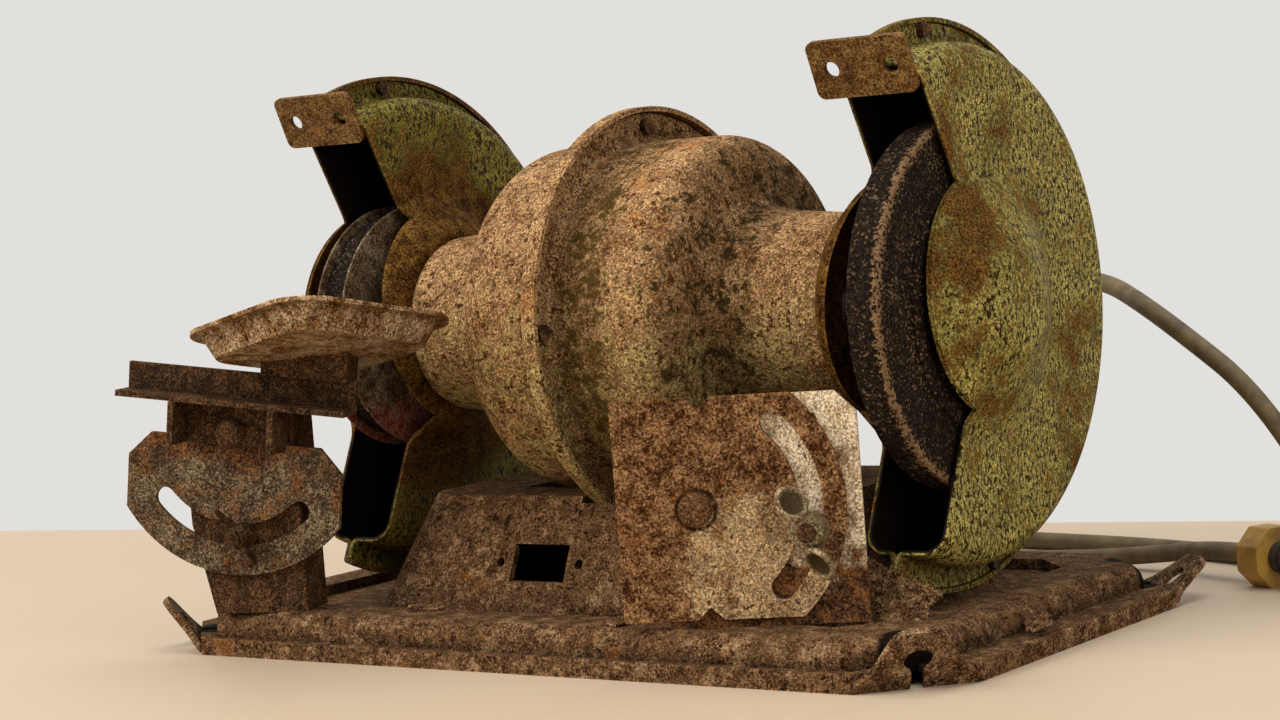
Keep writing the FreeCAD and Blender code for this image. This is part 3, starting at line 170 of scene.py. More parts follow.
def weathered_steel(name, paint, speck, rust, speck_mm=2.0, speck_share=0.3, speck_tall=1.0, rust_share=0.4,
                    rust_mm=26.0, where=None, where_gain=0.5, metal=0.0, rough=(0.62, 0.9), pit=0.35,
                    dust=None, dust_share=0.0, second=None, grime_and_shade=(), bloom=None):
    """Old sheet steel: a coat in three tones, fine dark specks where it has blistered, and rust patches.
    Patches gather where a region asks for them, a second coat may take over in a region, grime and painted
    shade darken other regions, and blooms of fresh rust lie on top. Rust is matt and pitted, the coat a
    little smoother, nooks get painted shade and thin edges are rubbed paler."""
    material, tree, shader = new_material(name)
    place = add(tree, "ShaderNodeTexCoord").outputs["Object"]
    tall = add(tree, "ShaderNodeVectorMath", {0: place, 1: (1, 1, 1 / speck_tall)},
               operation="MULTIPLY").outputs[0]
    broad = add(tree, "ShaderNodeTexNoise", {"Vector": place, "Scale": per_mm(rust_mm), "Detail": 9.0,
                                             "Roughness": 0.72}).outputs["Fac"]
    mottle = add(tree, "ShaderNodeTexNoise", {"Vector": place, "Scale": per_mm(MOTTLE_MM), "Detail": 8.0,
                                              "Roughness": 0.75}).outputs["Fac"]
    fine = add(tree, "ShaderNodeTexNoise", {"Vector": tall, "Scale": per_mm(speck_mm), "Detail": 6.0,
                                            "Roughness": 0.75}).outputs["Fac"]
    grain = add(tree, "ShaderNodeTexNoise", {"Vector": place, "Scale": per_mm(GRAIN_MM), "Detail": 2.0,
                                             "Roughness": 0.6}).outputs["Fac"]

    # Grain, from fine to broad, picks the tone of the coat and of the rust
    sand = add(tree, "ShaderNodeMath", {0: grain, 1: 0.25, 2: 0.0}, operation="MULTIPLY_ADD").outputs[0]
    sand = add(tree, "ShaderNodeMath", {0: fine, 1: 0.4, 2: sand}, operation="MULTIPLY_ADD").outputs[0]
    sand = add(tree, "ShaderNodeMath", {0: mottle, 1: 0.35, 2: sand}, operation="MULTIPLY_ADD").outputs[0]
    coat = add(tree, "ShaderNodeValToRGB", {"Fac": sand},
               ramp=list(zip(COAT_STOPS, paint))).outputs["Color"]
    if second:
        under = add(tree, "ShaderNodeValToRGB", {"Fac": sand},
                    ramp=list(zip(COAT_STOPS, second[0]))).outputs["Color"]
        share = ragged(tree, region(tree, place, second[1]), mottle, 3.0)
        coat = add(tree, "ShaderNodeMix", {0: share, 6: coat, 7: under}, data_type="RGBA").outputs[2]
    scale = add(tree, "ShaderNodeValToRGB", {"Fac": sand},
                ramp=list(zip(RUST_STOPS, rust))).outputs["Color"]

    # Where rust has taken over, and where the coat has blistered
    lean = add(tree, "ShaderNodeMath", {0: mottle, 1: 0.35, 2: broad}, operation="MULTIPLY_ADD").outputs[0]
    if where:
        pull = region(tree, place, where)
        lean = add(tree, "ShaderNodeMath", {0: pull, 1: where_gain, 2: lean},
                   operation="MULTIPLY_ADD").outputs[0]
    edge = 0.675 + 0.28 * (0.5 - rust_share)
    patch = add(tree, "ShaderNodeMapRange",
                {"Value": lean, "From Min": edge - 0.06, "From Max": edge + 0.08}).outputs[0]
    cut = 0.5 + 0.24 * (0.5 - speck_share)
    dots = add(tree, "ShaderNodeMapRange",
               {"Value": fine, "From Min": cut, "From Max": cut + 0.04}).outputs[0]

    # Coat, rust, specks, dust, blooms, and grime and painted shade, one over the other
    colour = add(tree, "ShaderNodeMix", {0: patch, 6: coat, 7: scale}, data_type="RGBA").outputs[2]
    over = add(tree, "ShaderNodeMapRange", {"Value": patch, "To Min": 1.0, "To Max": 0.55}).outputs[0]
    dots = add(tree, "ShaderNodeMath", {0: dots, 1: over}, operation="MULTIPLY").outputs[0]
    colour = add(tree, "ShaderNodeMix", {0: dots, 6: colour, 7: linear(speck)}, data_type="RGBA").outputs[2]
    if dust:
        loose = add(tree, "ShaderNodeMapRange",
                    {"Value": mottle, "From Min": 0.66 - 0.3 * dust_share, "From Max": 0.8,
                     "To Max": 0.8}).outputs[0]
        colour = add(tree, "ShaderNodeMix", {0: loose, 6: colour, 7: linear(dust)},
                     data_type="RGBA").outputs[2]
    if bloom:
        fresh, fresh_mm, most = bloom
        cloud = add(tree, "ShaderNodeTexNoise", {"Vector": place, "Scale": per_mm(fresh_mm), "Detail": 6.0,
                                                 "Roughness": 0.7}).outputs["Fac"]
        flower = add(tree, "ShaderNodeMapRange", {"Value": cloud, "From Min": 0.6, "From Max": 0.7,
                                                  "To Max": most}).outputs[0]
        colour = add(tree, "ShaderNodeMix", {0: flower, 6: colour, 7: linear(fresh)},
                     data_type="RGBA").outputs[2]
    # Grime and painted shade: dark patches, painted shade in some regions and dirt in others
    for dark, spot, patchy in grime_and_shade:
        dirt_and_shade = ragged(tree, region(tree, place, spot), mottle, patchy)
        colour = add(tree, "ShaderNodeMix", {0: dirt_and_shade, 6: colour, 7: linear(dark)},
                     data_type="RGBA").outputs[2]

    # Lighter and darker grains, painted shade in nooks, rubbed edges
    shade = add(tree, "ShaderNodeMapRange",
                {"Value": grain, "From Min": 0.3, "From Max": 0.7, "To Min": 0.62, "To Max": 1.32}).outputs[0]
    nook = add(tree, "ShaderNodeAmbientOcclusion", {"Distance": NOOK_REACH}, samples=4,
               only_local=True).outputs["AO"]
    nook_shade = add(tree, "ShaderNodeMapRange",
               {"Value": nook, "From Min": 0.35, "From Max": 0.95, "To Min": 0.4, "To Max": 1.05}).outputs[0]
    shade = add(tree, "ShaderNodeMath", {0: shade, 1: nook_shade}, operation="MULTIPLY").outputs[0]
    thick = add(tree, "ShaderNodeAmbientOcclusion", {"Distance": EDGE_REACH}, samples=4, inside=True,
                only_local=True).outputs["AO"]
    wear_and_highlight = add(tree, "ShaderNodeMapRange",
               {"Value": thick, "From Min": 0.45, "From Max": 0.85, "To Min": 1.4, "To Max": 1.0}).outputs[0]
    shade = add(tree, "ShaderNodeMath", {0: shade, 1: wear_and_highlight}, operation="MULTIPLY").outputs[0]
    colour = add(tree, "ShaderNodeVectorMath", {0: colour, "Scale": shade}, operation="SCALE").outputs[0]
    tree.links.new(colour, shader.inputs["Base Color"])

    # Rust is duller than the coat and has no metal shine
    matt = add(tree, "ShaderNodeMapRange",
               {"Value": patch, "To Min": rough[0], "To Max": rough[1]}).outputs[0]
    tree.links.new(matt, shader.inputs["Roughness"])
    if metal:
        bare = add(tree, "ShaderNodeMapRange", {"Value": patch, "To Min": metal, "To Max": 0.0}).outputs[0]
        tree.links.new(bare, shader.inputs["Metallic"])
    shader.inputs["Specular IOR Level"].default_value = 0.08

    # Pits and grains, with the rust a little proud
    relief = add(tree, "ShaderNodeMath", {0: fine, 1: 0.7, 2: grain}, operation="MULTIPLY_ADD").outputs[0]
    relief = add(tree, "ShaderNodeMath", {0: patch, 1: 0.12, 2: relief}, operation="MULTIPLY_ADD").outputs[0]
    relief = add(tree, "ShaderNodeMath", {0: mottle, 1: 0.3, 2: relief}, operation="MULTIPLY_ADD").outputs[0]
    bump = add(tree, "ShaderNodeBump", {"Height": relief, "Strength": pit, "Distance": PIT_DEPTH}).outputs[0]
    tree.links.new(bump, shader.inputs["Normal"])
    return material


def abrasive_grit(name, dark, light, glint, where=None, wear_and_highlight=None):
    """Vitrified grinding wheel: coarse black-grey grains in a dull bond, with a painted highlight along an
    edge where one is given.
    """
    material, tree, shader = new_material(name)
    place = add(tree, "ShaderNodeTexCoord").outputs["Object"]
    cells = add(tree, "ShaderNodeTexVoronoi", {"Vector": place, "Scale": per_mm(GRIT_MM), "Randomness": 1.0})
    cloud = add(tree, "ShaderNodeTexNoise", {"Vector": place, "Scale": per_mm(LOADING_MM), "Detail": 5.0,
                                             "Roughness": 0.6}).outputs["Fac"]
    grains = add(tree, "ShaderNodeSeparateColor", {"Color": cells.outputs["Color"]}).outputs[0]
    mix = add(tree, "ShaderNodeMath", {0: cloud, 1: 0.9, 2: grains}, operation="MULTIPLY_ADD").outputs[0]
    mix = add(tree, "ShaderNodeMapRange", {"Value": mix, "From Min": 0.4, "From Max": 1.5}).outputs[0]
    colour = add(tree, "ShaderNodeValToRGB", {"Fac": mix},
                 ramp=[(0.4, dark), (0.85, light), (1.0, glint)]).outputs["Color"]
    if wear_and_highlight:
        share = ragged(tree, region(tree, place, where), grains, 0.8)
        colour = add(tree, "ShaderNodeMix", {0: share, 6: colour, 7: linear(wear_and_highlight)},
                     data_type="RGBA").outputs[2]
    tree.links.new(colour, shader.inputs["Base Color"])
    shader.inputs["Roughness"].default_value = 0.85
    shader.inputs["Specular IOR Level"].default_value = 0.1
    bump = add(tree, "ShaderNodeBump",
               {"Height": cells.outputs["Distance"], "Strength": 0.7, "Distance": 0.0009}).outputs[0]
    tree.links.new(bump, shader.inputs["Normal"])
    return material


def dusty_polymer(name, dark, light, rough, relief_mm, strength=0.15):
    """Old rubber or moulded plastic, dulled by dust that lies in soft clouds."""
    material, tree, shader = new_material(name)
    place = add(tree, "ShaderNodeTexCoord").outputs["Object"]
    cloud = add(tree, "ShaderNodeTexNoise", {"Vector": place, "Scale": per_mm(DUST_MM), "Detail": 6.0,
                                             "Roughness": 0.65}).outputs["Fac"]
    fine = add(tree, "ShaderNodeTexNoise",
               {"Vector": place, "Scale": per_mm(relief_mm), "Detail": 3.0, "Roughness": 0.6}).outputs["Fac"]
    colour = add(tree, "ShaderNodeValToRGB", {"Fac": cloud},
                 ramp=[(0.35, dark), (0.68, light)]).outputs["Color"]
    tree.links.new(colour, shader.inputs["Base Color"])
    shader.inputs["Roughness"].default_value = rough
    bump = add(tree, "ShaderNodeBump", {"Height": fine, "Strength": strength, "Distance": 0.0006}).outputs[0]
    tree.links.new(bump, shader.inputs["Normal"])
    return material


def plain_metal(name, colour, rough, metallic):
    """Bare or varnished metal, seldom seen: soft clouds of tarnish and fine turning marks."""
    material, tree, shader = new_material(name)
    place = add(tree, "ShaderNodeTexCoord").outputs["Object"]
    cloud = add(tree, "ShaderNodeTexNoise", {"Vector": place, "Scale": per_mm(TARNISH_MM), "Detail": 5.0,
                                             "Roughness": 0.6}).outputs["Fac"]
    marks = add(tree, "ShaderNodeTexNoise", {"Vector": place, "Scale": per_mm(TURNING_MM), "Detail": 2.0,
                                             "Roughness": 0.5}).outputs["Fac"]
    stops = list(zip((0.36, 0.5, 0.64), tones(linear(colour)[:3], 0.6, 1.2)))
    tint = add(tree, "ShaderNodeValToRGB", {"Fac": cloud}, ramp=stops).outputs["Color"]
    dull = add(tree, "ShaderNodeMapRange", {"Value": cloud, "From Min": 0.3, "From Max": 0.7,
                                            "To Min": rough - 0.1, "To Max": rough + 0.15}).outputs[0]
    bump = add(tree, "ShaderNodeBump", {"Height": marks, "Strength": 0.15, "Distance": 0.0002}).outputs[0]
    tree.links.new(tint, shader.inputs["Base Color"])
    tree.links.new(dull, shader.inputs["Roughness"])
    tree.links.new(bump, shader.inputs["Normal"])
    shader.inputs["Metallic"].default_value = metallic
    return material


def dress(material, *names):
    """Gives CAD nodes a finish in place of their plain one."""
    for name in names:
        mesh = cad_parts[name].data
        mesh.materials.clear()
        mesh.materials.append(material)


# Rust from its dark pits to its light dust
RUST = ("#2b1a0f", "#4c3320", "#6b4a2e", "#8a5a30")
DARK_RUST = ("#1f130b", "#3a2718", "#553d29", "#7a5433")

# A corner of the base, from the pan's middle
LUG = (0.1652, 0.0872, 0.012)
LUG_ROOT = (0.1535, 0.0755, 0.008)


def base_finish(settings):
    """Pressed base: dark brown pitted rust with pale dust and orange blooms, paler lugs, painted shade behind
    them.
    """
    finish = weathered_steel(
        "Base pan deep pitted rust", tones(settings.base_colour), "#2b1604",
        ("#241103", "#5c3f25", "#886748", "#b8946e"), speck_mm=2.4, speck_share=0.42,
        rust_share=settings.base_rust, rust_mm=19.0, rough=(0.86, 0.95), pit=1.0 * settings.pit,
        dust="#b8956f", dust_share=0.4, bloom=("#96602a", 17.0, 0.55),
        second=(("#5a4028", "#8a6c4d", "#b39372"), ("corners", 0.018, 0.012, LUG)),
        # Painted shade in the hole at the root of each corner lug
        grime_and_shade=[("#1a0e05", ("corners", 0.0135, 0.009, LUG_ROOT), 0.5)])
    dress(finish, "base_pan")
    dress(dark_steel("Bolts black with old oil"), "motor_mount_bolts", "post_foot_bolts")


def dark_steel(name):
    """Blackened screw steel with small patches of brown rust."""
    return weathered_steel(name, ("#241a12", "#382a1e", "#57432f"), "#1b120b", RUST, speck_mm=1.2,
                           rust_share=0.45, rust_mm=7.0, metal=0.35, rough=(0.5, 0.85), pit=0.4)


def motor_finish(settings):
    """Motor: tan rust dust with dark pits over yellow-green paint that still shows on the lower side."""
    shell = weathered_steel(
        "Motor shell tan rust over paint", tones(settings.motor_colour), "#47280c",
        ("#371b05", "#704c2b", "#ab8254", "#d8ae7f"), speck_mm=2.6, speck_share=0.44,
        rust_share=settings.motor_rust, rust_mm=16.0, rough=(0.75, 0.92), pit=0.75 * settings.pit,
        dust="#dcb387", dust_share=0.2, second=(tones(settings.motor_paint), ("Z", 0.15, 0.085)),
        # Painted shade with some dirt in the groove between shoulder and neck, and a painted shadow of the
        # lip on the right half
        grime_and_shade=[("#33260b", [("X", 0.030, 0.060), ("X", 0.074, 0.040)], 3.5),
               ("#4d3a16", [("X", -0.004, 0.016), ("X", 0.028, 0.004)], 3.5)],
        bloom=("#b9702e", 30.0, 0.5))
    dress(shell, "motor_shell_left", "motor_shell_right")
    dress(dark_steel("Flange screws dark steel"), "shell_screws")
    # Inside the motor: grey iron, brown varnished copper and bright ground steel
    dress(plain_metal("Core iron laminations", "#4b4238", 0.6, 0.7), "stator_core", "rotor_core",
          "bearing_housing_left", "bearing_housing_right")
    dress(plain_metal("Varnished copper windings", "#8a4a22", 0.4, 0.8), "stator_coils")
    dress(plain_metal("Bearing steel", "#a8a49c", 0.25, 1.0), "bearing_left", "bearing_right", "spindle")


# Soot and painted shade inside the guards
SOOT_AND_SHADE = "#120b06"
DOME_RUST = (0.146, -0.03, 0.14)       # upper front of the right guard's dome, where rust gathers
# Inside of each guard half: reach from the centre of its rounded corner, that centre's X, and its side
GUARD_INSIDES = {
    "guard_right_outer": ("hollow", 0.0075, 0.0069, (0.127, 1)),
    "guard_right_inner": ("hollow", 0.0075, 0.0069, (0.112, -1)),
    "guard_left_inner": ("hollow", 0.0075, 0.0069, (-0.120, 1)),
    "guard_left_outer": ("hollow", 0.0075, 0.0069, (-0.135, -1)),
}


def guard_finish(settings):
    """Guards: olive paint broken by fine dark specks, brown rust at the rims, soot and painted shade inside.
    """
    looks = {
        "guard_right_outer": ("Right guard olive paint with dark specks", tones(settings.guard_colour),
                              "#291600", settings.guard_rust, ("spot", 0.05, 0.015, DOME_RUST), 0.1),
        "guard_right_inner": ("Right guard back half mossy paint", ("#655a1e", "#867a38", "#9d914e"),
                              "#2a1900", 0.35, ("radius", 0.07, 0.04), 0.3),
        "guard_left_inner": ("Left guard mossy paint with dark specks", ("#615618", "#857a32", "#a1964a"),
                             "#211300", 0.35, ("radius", 0.068, 0.05), 0.4),
        "guard_left_outer": ("Left guard brown rusted half", ("#4a3519", "#634a2a", "#7d623c"),
                             "#2c1a0a", 0.7, None, 0.0),
    }
    for node, (name, paint, speck, share, where, gain) in looks.items():
        dress(weathered_steel(
            name, paint, speck, ("#2a1500", "#4c3010", "#6b4a1c", "#8d6a30"), speck_mm=1.5, speck_share=0.56,
            speck_tall=1.5, rust_share=share, rust_mm=24.0, where=where, where_gain=gain, rough=(0.55, 0.85),
            pit=0.3 * settings.pit, grime_and_shade=[(SOOT_AND_SHADE, GUARD_INSIDES[node], 0.5)]), node)
    # Tabs: olive-brown paint, darker than the guards, with small patches of rust
    tab = weathered_steel(
        "Shield tab olive-brown paint", ("#4c3110", "#654721", "#83663a"), "#2e1803", RUST,
        speck_mm=2.2, speck_share=0.3, rust_share=0.3, rust_mm=16.0, rough=(0.5, 0.8), pit=0.3 * settings.pit)
    dress(tab, "shield_tab_left", "shield_tab_right")
    dress(dark_steel("Guard screws dark steel"), "guard_left_rim_screws", "guard_right_rim_screws",
          "guard_left_neck_screws", "guard_right_neck_screws")


def wheel_finish(settings):
    """Wheels: coarse black-grey grit, the right one with a tan painted highlight along its outer edge."""
    # Painted highlight: a tan line along the right wheel's outer edge
    highlight_ridge = [("X", 0.1282, 0.1316), ("radius", 0.0596, 0.0636)]
    dress(abrasive_grit("Right wheel black grit", "#120a04", "#31261a", "#6a553d", highlight_ridge, "#86694a"),
          "wheel_right")
    dress(abrasive_grit("Left wheel worn grey grit", "#120c07", "#3a2f23", "#6b5c49"), "wheel_left")
    # Flanges: brown oily steel with a dull shine between the rust
    flange = weathered_steel("Wheel flanges brown steel", ("#33271b", "#4f3d2b", "#6d5740"), "#22170e", RUST,
                             speck_mm=1.6, rust_share=0.5, rust_mm=12.0, metal=0.3, rough=(0.55, 0.85),
                             pit=0.4)
    dress(flange, "wheel_flange_inner_left", "wheel_flange_inner_right", "wheel_flange_outer_left",
          "wheel_flange_outer_right")
    dress(dark_steel("Wheel nuts dark steel"), "wheel_nut_left", "wheel_nut_right")
    dress(blotter_card("Blotter card browned"), "blotters_left", "blotters_right")


def blotter_card(name):
    """Paper disc between wheel and flange: browned card with a little red dye left low on it."""
    return weathered_steel(name, ("#3a2b1e", "#55432f", "#75624b"), "#2a1d12",
                           ("#4d4238", "#6a5c4c", "#83745f", "#9a8a74"), speck_mm=3.0, speck_share=0.25,
                           rust_share=0.3, rust_mm=14.0, rough=(0.85, 0.95), pit=0.15,
                           second=(("#6b2d20", "#8d4233", "#8b6a58"), ("Z", 0.094, 0.08)))


RIVET = (0.0685, -0.0836, 0.056)       # middle of the right pivot rivet, on the plate's face
ZINC_LEFT = (0.085, -0.073, 0.034)     # middle of the zinc that is left on the right plate


def zinc_nut(cups):
    """Cast zinc gone dull: grey-tan where fingers rub it, painted shade in the cups of its wings, a little
    rust.
    """
    return weathered_steel("Wing nut dull grey zinc", ("#564732", "#806e50", "#b09c79"), "#33240f", RUST,
                           speck_mm=1.2, speck_share=0.24, rust_share=0.12, rust_mm=9.0, metal=0.25,
                           rough=(0.45, 0.8), pit=0.25,
                           # Painted shade in the cup of each wing
                           grime_and_shade=[("#43361f", ("spot", 0.0054, 0.0030, cup), 0.8) for cup in cups])


def rest_finish(settings):
    """Rests: a rusted plate with zinc left low on it, a grey zinc post, and a dark steel left rest."""
    # Right plate: sandy brown rust that gives way to speckled grey-tan zinc, with a ring of painted shade
    # round the rivet
    plate = weathered_steel(
        "Right arc plate rust and zinc", tones(settings.zinc_colour), "#4c3015",
        ("#341b07", "#5a3a20", "#795637", "#a47e55"), speck_mm=2.4, speck_share=0.3, rust_share=0.42,
        rust_mm=12.0, where=("spot", 0.024, 0.04, ZINC_LEFT), where_gain=0.5, metal=0.1, rough=(0.55, 0.92),
        pit=0.6 * settings.pit, bloom=("#8f5527", 14.0, 0.45),
        grime_and_shade=[("#2a1707", [("spot", 0.0082, 0.0062, RIVET), ("spot", 0.0050, 0.0070, RIVET)], 1.5)])
    dress(plate, "right_arc_plate")
    # Pivot rivet: a dark rusted head that stands out from the plate
    dress(weathered_steel("Pivot rivet dark rust", ("#4a3018", "#6b4a2c", "#8f6b48"), "#241204", DARK_RUST,
                          speck_mm=1.4, rust_share=0.4, rust_mm=6.0, pit=0.4), "right_pivot_rivet")
    # Right post: pale zinc with a few specks, brown only near its foot
    post = weathered_steel(
        "Right post pale zinc", ("#a68b66", "#d9c4a1", "#f0e2ca"), "#644a2c", RUST, speck_mm=2.0,
        speck_share=0.25, rust_share=0.14, rust_mm=15.0, where=("Z", 0.048, 0.018), where_gain=0.4,
        metal=0.2, rough=(0.5, 0.85), pit=0.3 * settings.pit)
    dress(post, "right_rest_post")
    # Left arc plate: grey steel rubbed bare, rusting from its top
    arc = weathered_steel(
        "Left arc plate grey steel", ("#3a2d1e", "#5d4d38", "#8c7b61"), "#231404", RUST, speck_mm=2.0,
        speck_share=0.3, rust_share=0.4, rust_mm=15.0, where=("Z", 0.07, 0.09), where_gain=0.3,
        metal=0.3, rough=(0.45, 0.85), pit=0.4 * settings.pit)
    dress(arc, "left_arc_plate")
    # Left post, bar and bolts: even dark brown rust
    brown = weathered_steel(
        "Left rest brown rust", ("#332010", "#4b341f", "#6b4f33"), "#26170a", DARK_RUST, speck_mm=2.2,
        rust_share=0.5, rust_mm=14.0, rough=(0.7, 0.9), pit=0.6 * settings.pit)
    dress(brown, "left_rest_post", "left_rest_riser", "left_rest_bar", "left_table_leaf", "left_wing_nut",
          "left_pivot_bolt", "left_clamp_bolt", "right_clamp_bolt")
    # Tray: worn bright where work slid over it, brown rust between
    tray = weathered_steel(
        "Tray rust with worn bright metal", ("#7d6040", "#b59671", "#dcc6a8"), "#472c12",
        ("#2f1905", "#573818", "#7d5a34", "#a17c50"), speck_mm=2.2, speck_share=0.3, rust_share=0.55,
        rust_mm=15.0, metal=0.4, rough=(0.4, 0.88), pit=0.4 * settings.pit)
    dress(tray, "left_rest_table")


# Control points of the cord, in millimetres, as in the solid
CORD_ROUTE = [
    (20, 83.5, 115), (20, 119, 115), (46, 146, 115), (80, 150, 115), (110, 134, 113), (134, 115, 105.5),
    (158, 103, 93), (184, 95, 76), (205, 95, 46), (206, 113, 17), (186, 139, 7), (158, 158, 4),
    (126, 171, 3.5), (92, 181, 3.5), (54, 187, 3.5), (12, 193, 3.5), (-32, 204, 3.5), (-72, 202, 3.5),
    (-101, 173, 3.5), (-96, 133, 3.5), (-62, 111, 3.5), (-24, 117, 3.5), (12, 130, 3.5), (48, 142, 3.5),
    (86, 147, 3.5), (120, 144, 6.5), (148, 133.5, 11), (172, 122, 11)]

# Loose rust: the standing sheet, and the leaves as name, place, size, turn in degrees and seed
SHEET_LEAN = math.radians(66.5)
SHEET_PLACE = (0.124, -0.0503, 0.0245)
SHEET_THICKNESS = 0.0011
SHEET_TOP = 0.012          # top edge at the left, over the sheet's middle
SHEET_FALL = 0.35          # how fast the top edge falls to the right
TEAR_MARGIN = 0.0022       # kept free at the right for the teeth of the tear
TEAR_BITE = 0.007          # how much deeper the tear goes near the foot
TEAR_FOOT = 0.42           # share of the height where that begins
TEETH = (-0.0028, 0.0018)  # least and most that a tooth stands out
SCALE_ROUGHNESS = 0.0005
FLAKE_REACH = 0.82         # mean reach of a leaf's edge, as a share of its half size
FLAKES = [
    ("rust_leaf_left", (-64, -72.5, 16.9), (15, 7), (3, 2, 20), 2),
    ("rust_leaf_front", (31, -84.5, 16.9), (13, 6), (2, -3, -12), 7),
    ("rust_leaf_ledge", (156.2, -17, 9.9), (10, 24), (2, 3, 8), 9),
]


def deselect():
    """Leaves edit mode and clears the selection."""
    if bpy.context.object and bpy.context.object.mode != "OBJECT":
        bpy.ops.object.mode_set(mode="OBJECT")
    bpy.ops.object.select_all(action="DESELECT")


def mains_cord(settings):
    """Cord as one smooth tube along the solid's own route, ending in the plug."""
    deselect()
    bpy.ops.curve.primitive_nurbs_path_add(location=(0, 0, 0))
    cord = bpy.context.object
    cord.name = "mains_cord_tube"
    curve = cord.data
    curve.dimensions = "3D"
    curve.splines.clear()
    spline = curve.splines.new("NURBS")
    spline.points.add(len(CORD_ROUTE) - 1)
    for point, spot in zip(spline.points, CORD_ROUTE):
        point.co = (*[v / 1000 for v in spot], 1.0)
    spline.order_u = 3
    spline.use_endpoint_u = True
    spline.resolution_u = 8
    curve.bevel_depth = settings.cord_diameter / 2
    curve.bevel_resolution = 4
    curve.use_fill_caps = True
    # Cord and gland: grey-olive rubber gone dusty
    rubber = dusty_polymer("Cord grey-olive rubber", "#4a3b22", "#76643f", 0.62, 0.8)
    curve.materials.append(rubber)
    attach(cord, "frame")
    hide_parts("mains_cord")
    dress(rubber, "cord_gland", "mains_cord")
    # Plug: a dirty ochre collar, a black body, and tarnished pins
    dress(dusty_polymer("Plug collar dirty ochre", "#8f6d2d", "#c79a3f", 0.55, 1.6), "plug_collar")
    dress(dusty_polymer("Plug body black rubber", "#17130f", "#3a332b", 0.6, 1.2), "plug_body")
    dress(plain_metal("Plug pins tarnished brass", "#a68a55", 0.35, 0.9), "plug_blades")


# Right wing nut, in metres: its axis, its seat over the plate, its bore, and how its wings stand
NUT_AXIS = Vector((0.422618, -0.906308, 0))
SEAT_LIFT = 0.00255        # plate and clearance, from the plate's back face to the seat
NUT_SEAT = Vector((0.101566, -0.065715, 0.047667)) + SEAT_LIFT * NUT_AXIS
NUT_TURN = math.radians(112)
NUT_VOXEL = 0.0003         # grid on which hub and wings grow together
BOLT_RADIUS = 0.003
BOLT_PLAY = 0.0002
LEAF_TWIST = math.radians(48)
LEAF_LEAN = math.radians(20)

# Shares of the nut's reach and height
HUB_WIDE = 0.4
HUB_TOP = 0.82             # of the hub's foot
HUB_HIGH = 0.56
LEAF_OUT = 0.66            # middle of a wing
LEAF_UP = 0.6
LEAF_HALF = (0.39, 0.13, 0.37)
CUP_HALF = (0.33, 0.15, 0.31)
CUP_SHIFT = 0.12           # from the middle of a wing toward its hollow side


def bored(piece, drill):
    """Cuts one object out of another, leaves the cut one selected, and clears the drill away."""
    deselect()
    piece.select_set(True)
    bpy.context.view_layer.objects.active = piece
    bore = piece.modifiers.new("Bore", "BOOLEAN")
    bore.object = drill
    bpy.ops.object.modifier_apply(modifier=bore.name)
    bpy.data.objects.remove(drill)


def wing_nut(settings):
    """Right wing nut as cast: a round hub with two leaf wings that lean out, bored for its bolt."""
    deselect()
    high, reach = settings.nut_height, settings.nut_span / 2
    hub_high, hub_wide = HUB_HIGH * high, HUB_WIDE * reach
    bpy.ops.mesh.primitive_cone_add(vertices=48, radius1=hub_wide, radius2=HUB_TOP * hub_wide,
                                    depth=hub_high, location=(0, 0, hub_high / 2))
    nut = bpy.context.object
    nut.name = "wing_nut_cast"
    for side in (-1, 1):
        bpy.ops.mesh.primitive_uv_sphere_add(segments=48, ring_count=32, radius=1)
        leaf = bpy.context.object
        leaf.scale = (LEAF_HALF[0] * reach, LEAF_HALF[1] * reach, LEAF_HALF[2] * high)
        bpy.ops.object.transform_apply(scale=True)
        bpy.ops.mesh.primitive_uv_sphere_add(segments=48, ring_count=32, radius=1,
                                             location=(0, -side * CUP_SHIFT * reach, 0))
        cup = bpy.context.object
        cup.scale = (CUP_HALF[0] * reach, CUP_HALF[1] * reach, CUP_HALF[2] * high)
        bored(leaf, cup)
        leaf.rotation_euler = (-side * LEAF_TWIST, side * LEAF_LEAN, 0)
        leaf.location = (side * LEAF_OUT * reach, 0, LEAF_UP * high)
        nut.select_set(True)
        bpy.context.view_layer.objects.active = nut
        bpy.ops.object.join()
    bpy.ops.object.transform_apply(location=True, rotation=True, scale=True)
    cast = nut.modifiers.new("Cast", "REMESH")
    cast.mode = "VOXEL"
    cast.voxel_size = NUT_VOXEL
    bpy.ops.object.modifier_apply(modifier=cast.name)
    soft = nut.modifiers.new("Soft", "SMOOTH")
    soft.iterations = 3
    bpy.ops.object.modifier_apply(modifier=soft.name)
    bpy.ops.mesh.primitive_cylinder_add(vertices=32, radius=BOLT_RADIUS + BOLT_PLAY, depth=4 * high)
    bored(nut, bpy.context.object)
    along = Vector((-NUT_AXIS.y, NUT_AXIS.x, 0)) * math.cos(NUT_TURN) + Vector((0, 0, math.sin(NUT_TURN)))
    nut.rotation_euler = Matrix((along, NUT_AXIS.cross(along), NUT_AXIS)).transposed().to_euler()
    nut.location = NUT_SEAT
    cups = [NUT_SEAT + side * LEAF_OUT * reach * along + LEAF_UP * high * NUT_AXIS for side in (-1, 1)]
    bpy.ops.object.transform_apply(location=True, rotation=True, scale=True)
    bpy.ops.object.shade_smooth_by_angle(angle=SMOOTH_ANGLE)
    nut.data.materials.append(zinc_nut(cups))
    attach(nut, "right_wing")
    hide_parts("right_wing_nut")


def loose_scale(settings):
    """Rust that has come away in layers: sandy brown on its face, paler along its broken edges."""
    return weathered_steel("Loose rust scale", tones(settings.base_colour), "#2b1604",
                           ("#2b1605", "#5c3f25", "#886748", "#b8946e"), speck_mm=2.0, speck_share=0.4,
                           rust_share=0.5, rust_mm=11.0, rough=(0.9, 0.97), pit=0.9, dust="#b8956f",
                           dust_share=0.4)


